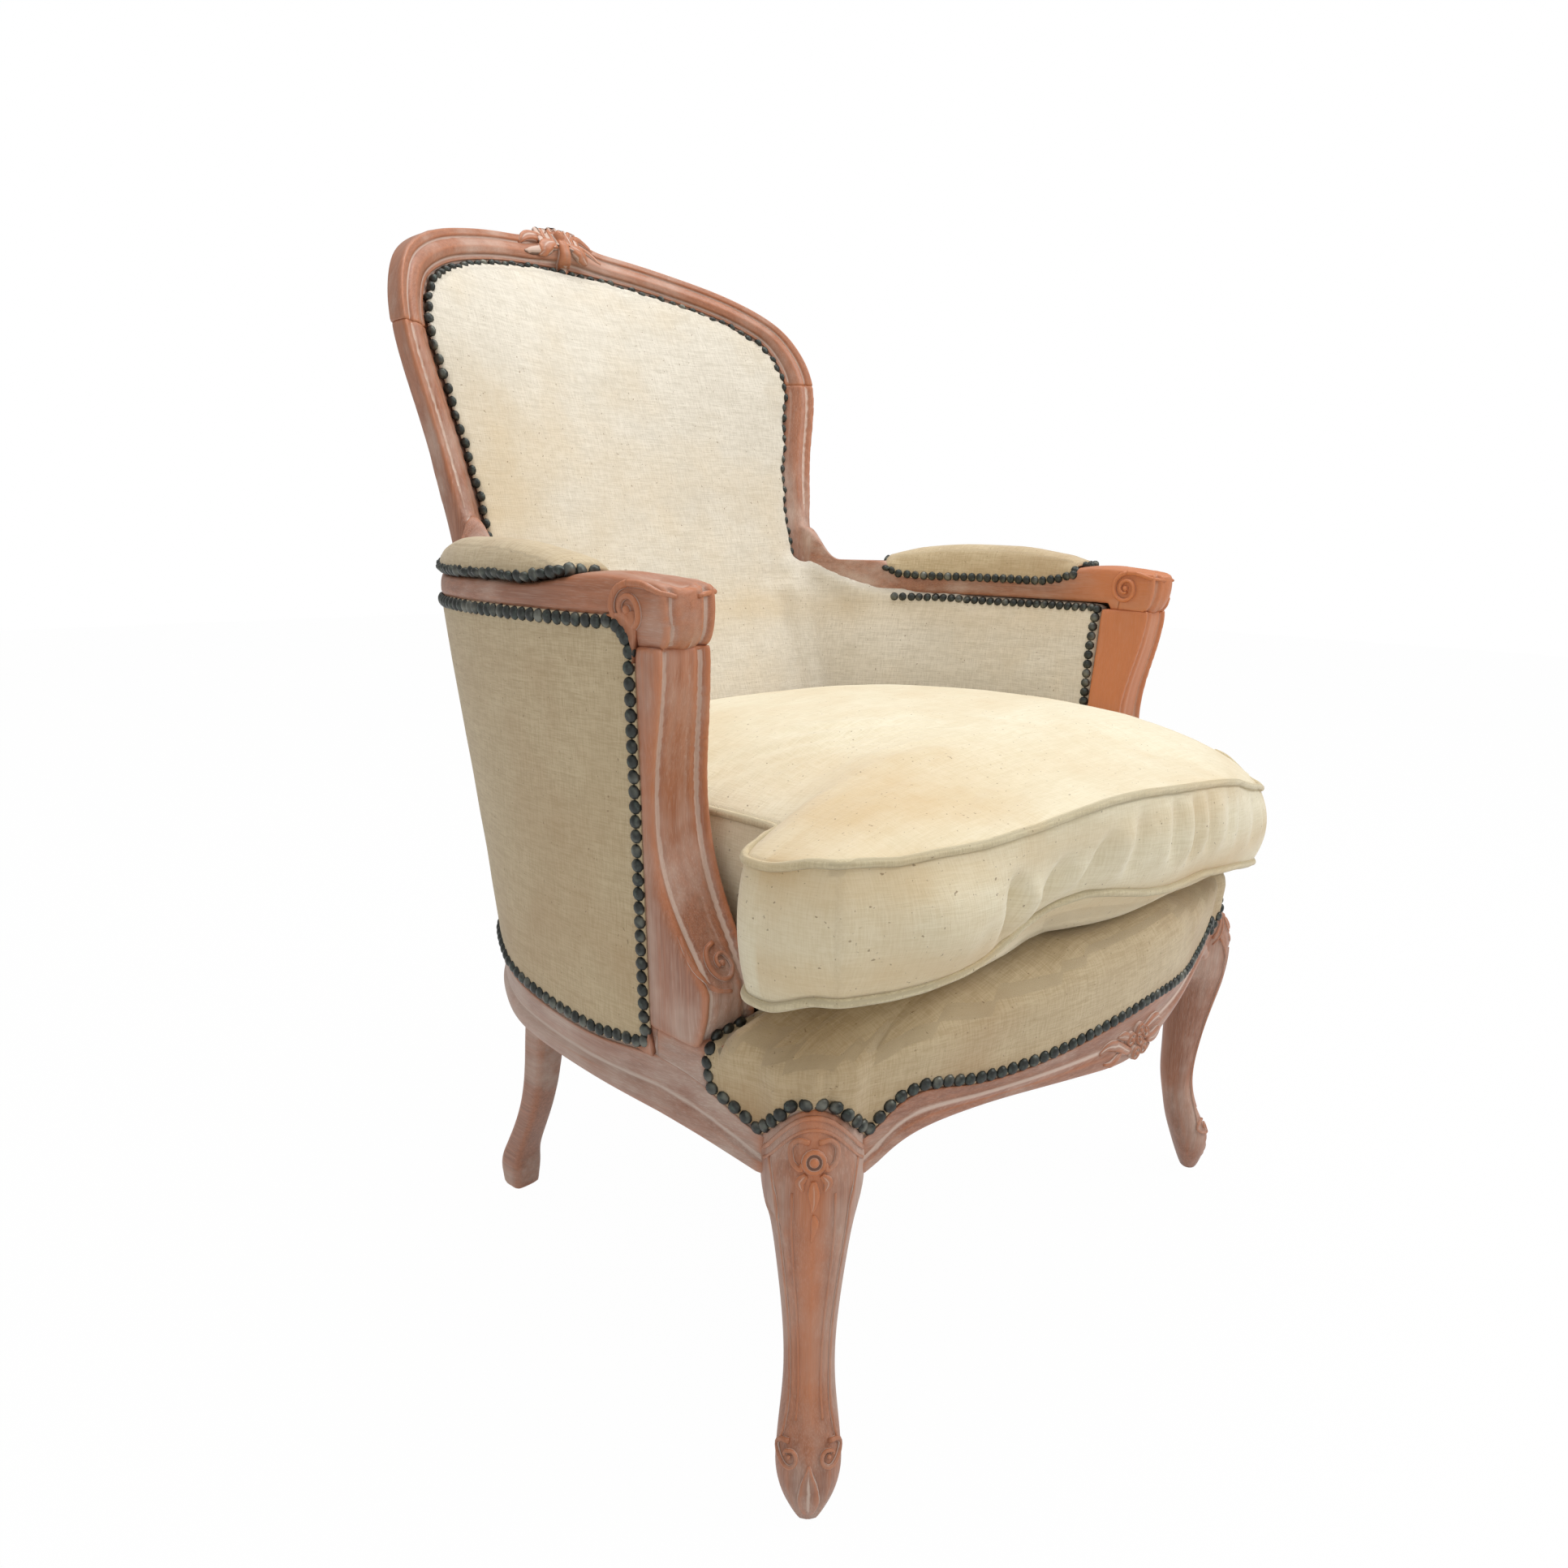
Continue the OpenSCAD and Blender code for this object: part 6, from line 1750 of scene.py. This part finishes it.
    def crumple(self, piece: bpy.types.Object) -> None:
        """Lays small wrinkles, stains and painted shade on the cushion."""
        co, normals = points_of(piece.data), normals_of(piece.data)
        crown = np.clip((normals[:, 2] - 0.5) / 0.2, 0, 1) * (co[:, 2] > 0.47)
        pairs = edges_of(piece.data)
        co[:, 2] += (averaged(co[:, 2], pairs, 8) - co[:, 2]) * crown
        normals = normals * (1 - crown[:, None]) + np.array([0, 0, 1]) * crown[:, None]
        push, soil = np.zeros(len(co)), np.zeros(len(co))
        for i, (x, y, z) in enumerate(co):
            p = Vector((x, y, z))
            push[i] = 1.5 * noise.noise(p * 11)
            top = min(max((z - 0.49) / 0.02, 0), 1) if normals[i, 2] > 0.3 else 0.0
            near = bell(x, -0.255, 0.07) * bell(y, -0.17, 0.10)
            push[i] += top * near * 3.2 * noise.noise(Vector((x * 14 + y * 40, x * 40 - y * 14, z * 10)))
            push[i] += top * 1.3 * noise.noise(Vector((x * 9, y * 30, z * 9)))
            dx, dy = x + 0.27, y + 0.235
            reach, turn = math.hypot(dx, dy), math.atan2(dy, dx)
            lines = noise.noise(Vector((turn * 7.5, reach * 3, 0.4)))
            lines += 0.5 * noise.noise(Vector((turn * 17, reach * 5, 2.7)))
            push[i] += top * 4.6 * lines * bell(reach, 0.11, 0.09) * min(reach / 0.04, 1)
            # A stain on the top near the front left; painted shade in bands along the front, at the tucked
            # lower seam and just under the upper piping; and a darker patch at the left front corner
            soil[i] = 0.5 * top * bell(x, -0.2, 0.12) * bell(y, -0.32, 0.07)
            soil[i] += 0.5 * bell(z, 0.42, 0.018) * (y < -0.3)
            soil[i] += 0.45 * bell(x, -0.31, 0.05) * bell(y, -0.33, 0.06) * bell(z, 0.47, 0.03)
            soil[i] += 0.3 * bell(z, 0.487, 0.012) * (y < -0.3)
        co = co + normals * (push * MM)[:, None]
        co[:, 2] += (averaged(co[:, 2], pairs, 3) - co[:, 2]) * crown
        move_points(piece.data, co)
        store(piece.data, "soil", np.clip(soil, 0, 1))


@dataclass
class Inside:
    """The pieces inside the seat and back, which keep the frame's shapes."""

    finishes: Finishes

    def build(self) -> None:
        """Gives each inner node its finish."""
        f = self.finishes
        wear = {
            f.raw: ("back_lower_rail", "tack_rail_left", "tack_rail_right", "corner_blocks", "joint_dowels"),
            f.steel: ("block_screws", "seat_springs"),
            f.webbing: ("seat_webbing", "back_webbing"),
        }
        for material, nodes in wear.items():
            for node in nodes:
                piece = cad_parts[node]
                piece.data.materials.clear()
                piece.data.materials.append(material)
                LOG.info("%s: dressed", node)


@dataclass
class Studio:
    """Floor, background, lights and the camera of the photograph."""

    eye: Vector = Vector((-0.7542, -0.7466, 0.6799))
    yaw: float = math.radians(47.0)
    pitch: float = math.radians(-15.65)
    roll: float = 0.019
    lens: float = 24.22
    shift: tuple[float, float] = (-0.0246, 0.0321)
    look: Vector = Vector((0, 0, 0.5))
    sky_light: float = 0.52
    floor_white: float = 0.985
    # Name, place, size and power of each lamp
    lamps: tuple[tuple[str, tuple[float, float, float], float, float], ...] = (
        ("key", (1.6, -1.9, 2.6), 1.6, 42), ("fill", (-2.2, -1.4, 1.6), 2.0, 6),
        ("top", (0.1, 0.1, 2.8), 1.6, 30))

    def camera(self) -> None:
        """Sets up the camera at the photograph's place."""
        level = Vector((math.sin(self.yaw), math.cos(self.yaw), 0))
        ahead = level * math.cos(self.pitch) + Vector((0, 0, math.sin(self.pitch)))
        right = Vector((math.cos(self.yaw), -math.sin(self.yaw), 0))
        up = right.cross(ahead)
        turned_right = right * math.cos(self.roll) + up * math.sin(self.roll)
        turned_up = up * math.cos(self.roll) - right * math.sin(self.roll)
        data = bpy.data.cameras.new("camera")
        data.lens = self.lens
        data.sensor_width = 36
        data.shift_x, data.shift_y = self.shift
        data.clip_start = 0.05
        camera = bpy.data.objects.new("camera", data)
        bpy.context.scene.collection.objects.link(camera)
        turn = Matrix((turned_right, turned_up, -ahead)).transposed().to_4x4()
        camera.matrix_world = Matrix.Translation(self.eye) @ turn
        bpy.context.scene.camera = camera

    def lamp(self, name: str, place: Sequence[float], size: float, power: float) -> None:
        """Adds a square soft lamp that looks at the seat."""
        data = bpy.data.lights.new(name, "AREA")
        data.size = size
        data.energy = power
        lamp = bpy.data.objects.new(name, data)
        bpy.context.scene.collection.objects.link(lamp)
        turn = (self.look - Vector(place)).to_track_quat("-Z", "Y").to_matrix().to_4x4()
        lamp.matrix_world = Matrix.Translation(Vector(place)) @ turn

    def floor(self) -> None:
        """Lays a pale floor that shows white and keeps the shadow."""
        bm = bmesh.new()
        bmesh.ops.create_grid(bm, x_segments=1, y_segments=1, size=8.0)
        s = Shader("floor")
        s.put(s.surface.inputs["Base Color"], linear((232, 231, 229)))
        s.put(s.surface.inputs["Roughness"], 0.9)
        white = s.node("Emission", None, {"Color": (1, 1, 1, 1), "Strength": 1.0})
        path = s.node("LightPath")
        seen = s.maths("MAXIMUM", path.outputs["Is Camera Ray"], path.outputs["Is Glossy Ray"])
        share = s.maths("MULTIPLY", seen, self.floor_white)
        out = s.tree.nodes["Material Output"]
        blend = s.node("MixShader", None, {0: share, 1: s.surface.outputs[0], 2: white.outputs[0]})
        s.put(out.inputs["Surface"], blend.outputs[0])
        floor = added(bm, "floor", s.material, smooth=False)

    def sky(self) -> None:
        """Sets an even world that shows white to the camera."""
        world = bpy.data.worlds.new("studio")
        bpy.context.scene.world = world
        world.use_nodes = True
        tree = world.node_tree
        tree.nodes.clear()
        out = tree.nodes.new("ShaderNodeOutputWorld")
        light = tree.nodes.new("ShaderNodeBackground")
        light.inputs["Color"].default_value = (1.0, 0.99, 0.97, 1)
        light.inputs["Strength"].default_value = self.sky_light
        shown = tree.nodes.new("ShaderNodeBackground")
        shown.inputs["Color"].default_value = (1, 1, 1, 1)
        shown.inputs["Strength"].default_value = 1.0
        path = tree.nodes.new("ShaderNodeLightPath")
        blend = tree.nodes.new("ShaderNodeMixShader")
        tree.links.new(path.outputs["Is Camera Ray"], blend.inputs[0])
        tree.links.new(light.outputs[0], blend.inputs[1])
        tree.links.new(shown.outputs[0], blend.inputs[2])
        tree.links.new(blend.outputs[0], out.inputs[0])

    def build(self) -> None:
        """Builds the studio."""
        self.camera()
        self.floor()
        self.sky()
        for lamp in self.lamps:
            self.lamp(*lamp)
        bpy.context.scene.view_settings.view_transform = "Standard"


def main() -> None:
    """Builds the chair and its studio in order."""
    logging.basicConfig(level=logging.INFO, format="%(name)s %(message)s")
    Studio().build()
    finishes = Finishes()
    wood = WoodFrame(finishes)
    wood.build()
    Carver(wood, finishes).build()
    covers = Covers(finishes)
    covers.build()
    covers.nail()
    Cushion(finishes).build()
    Inside(finishes).build()


if __name__ == "__main__":
    main()
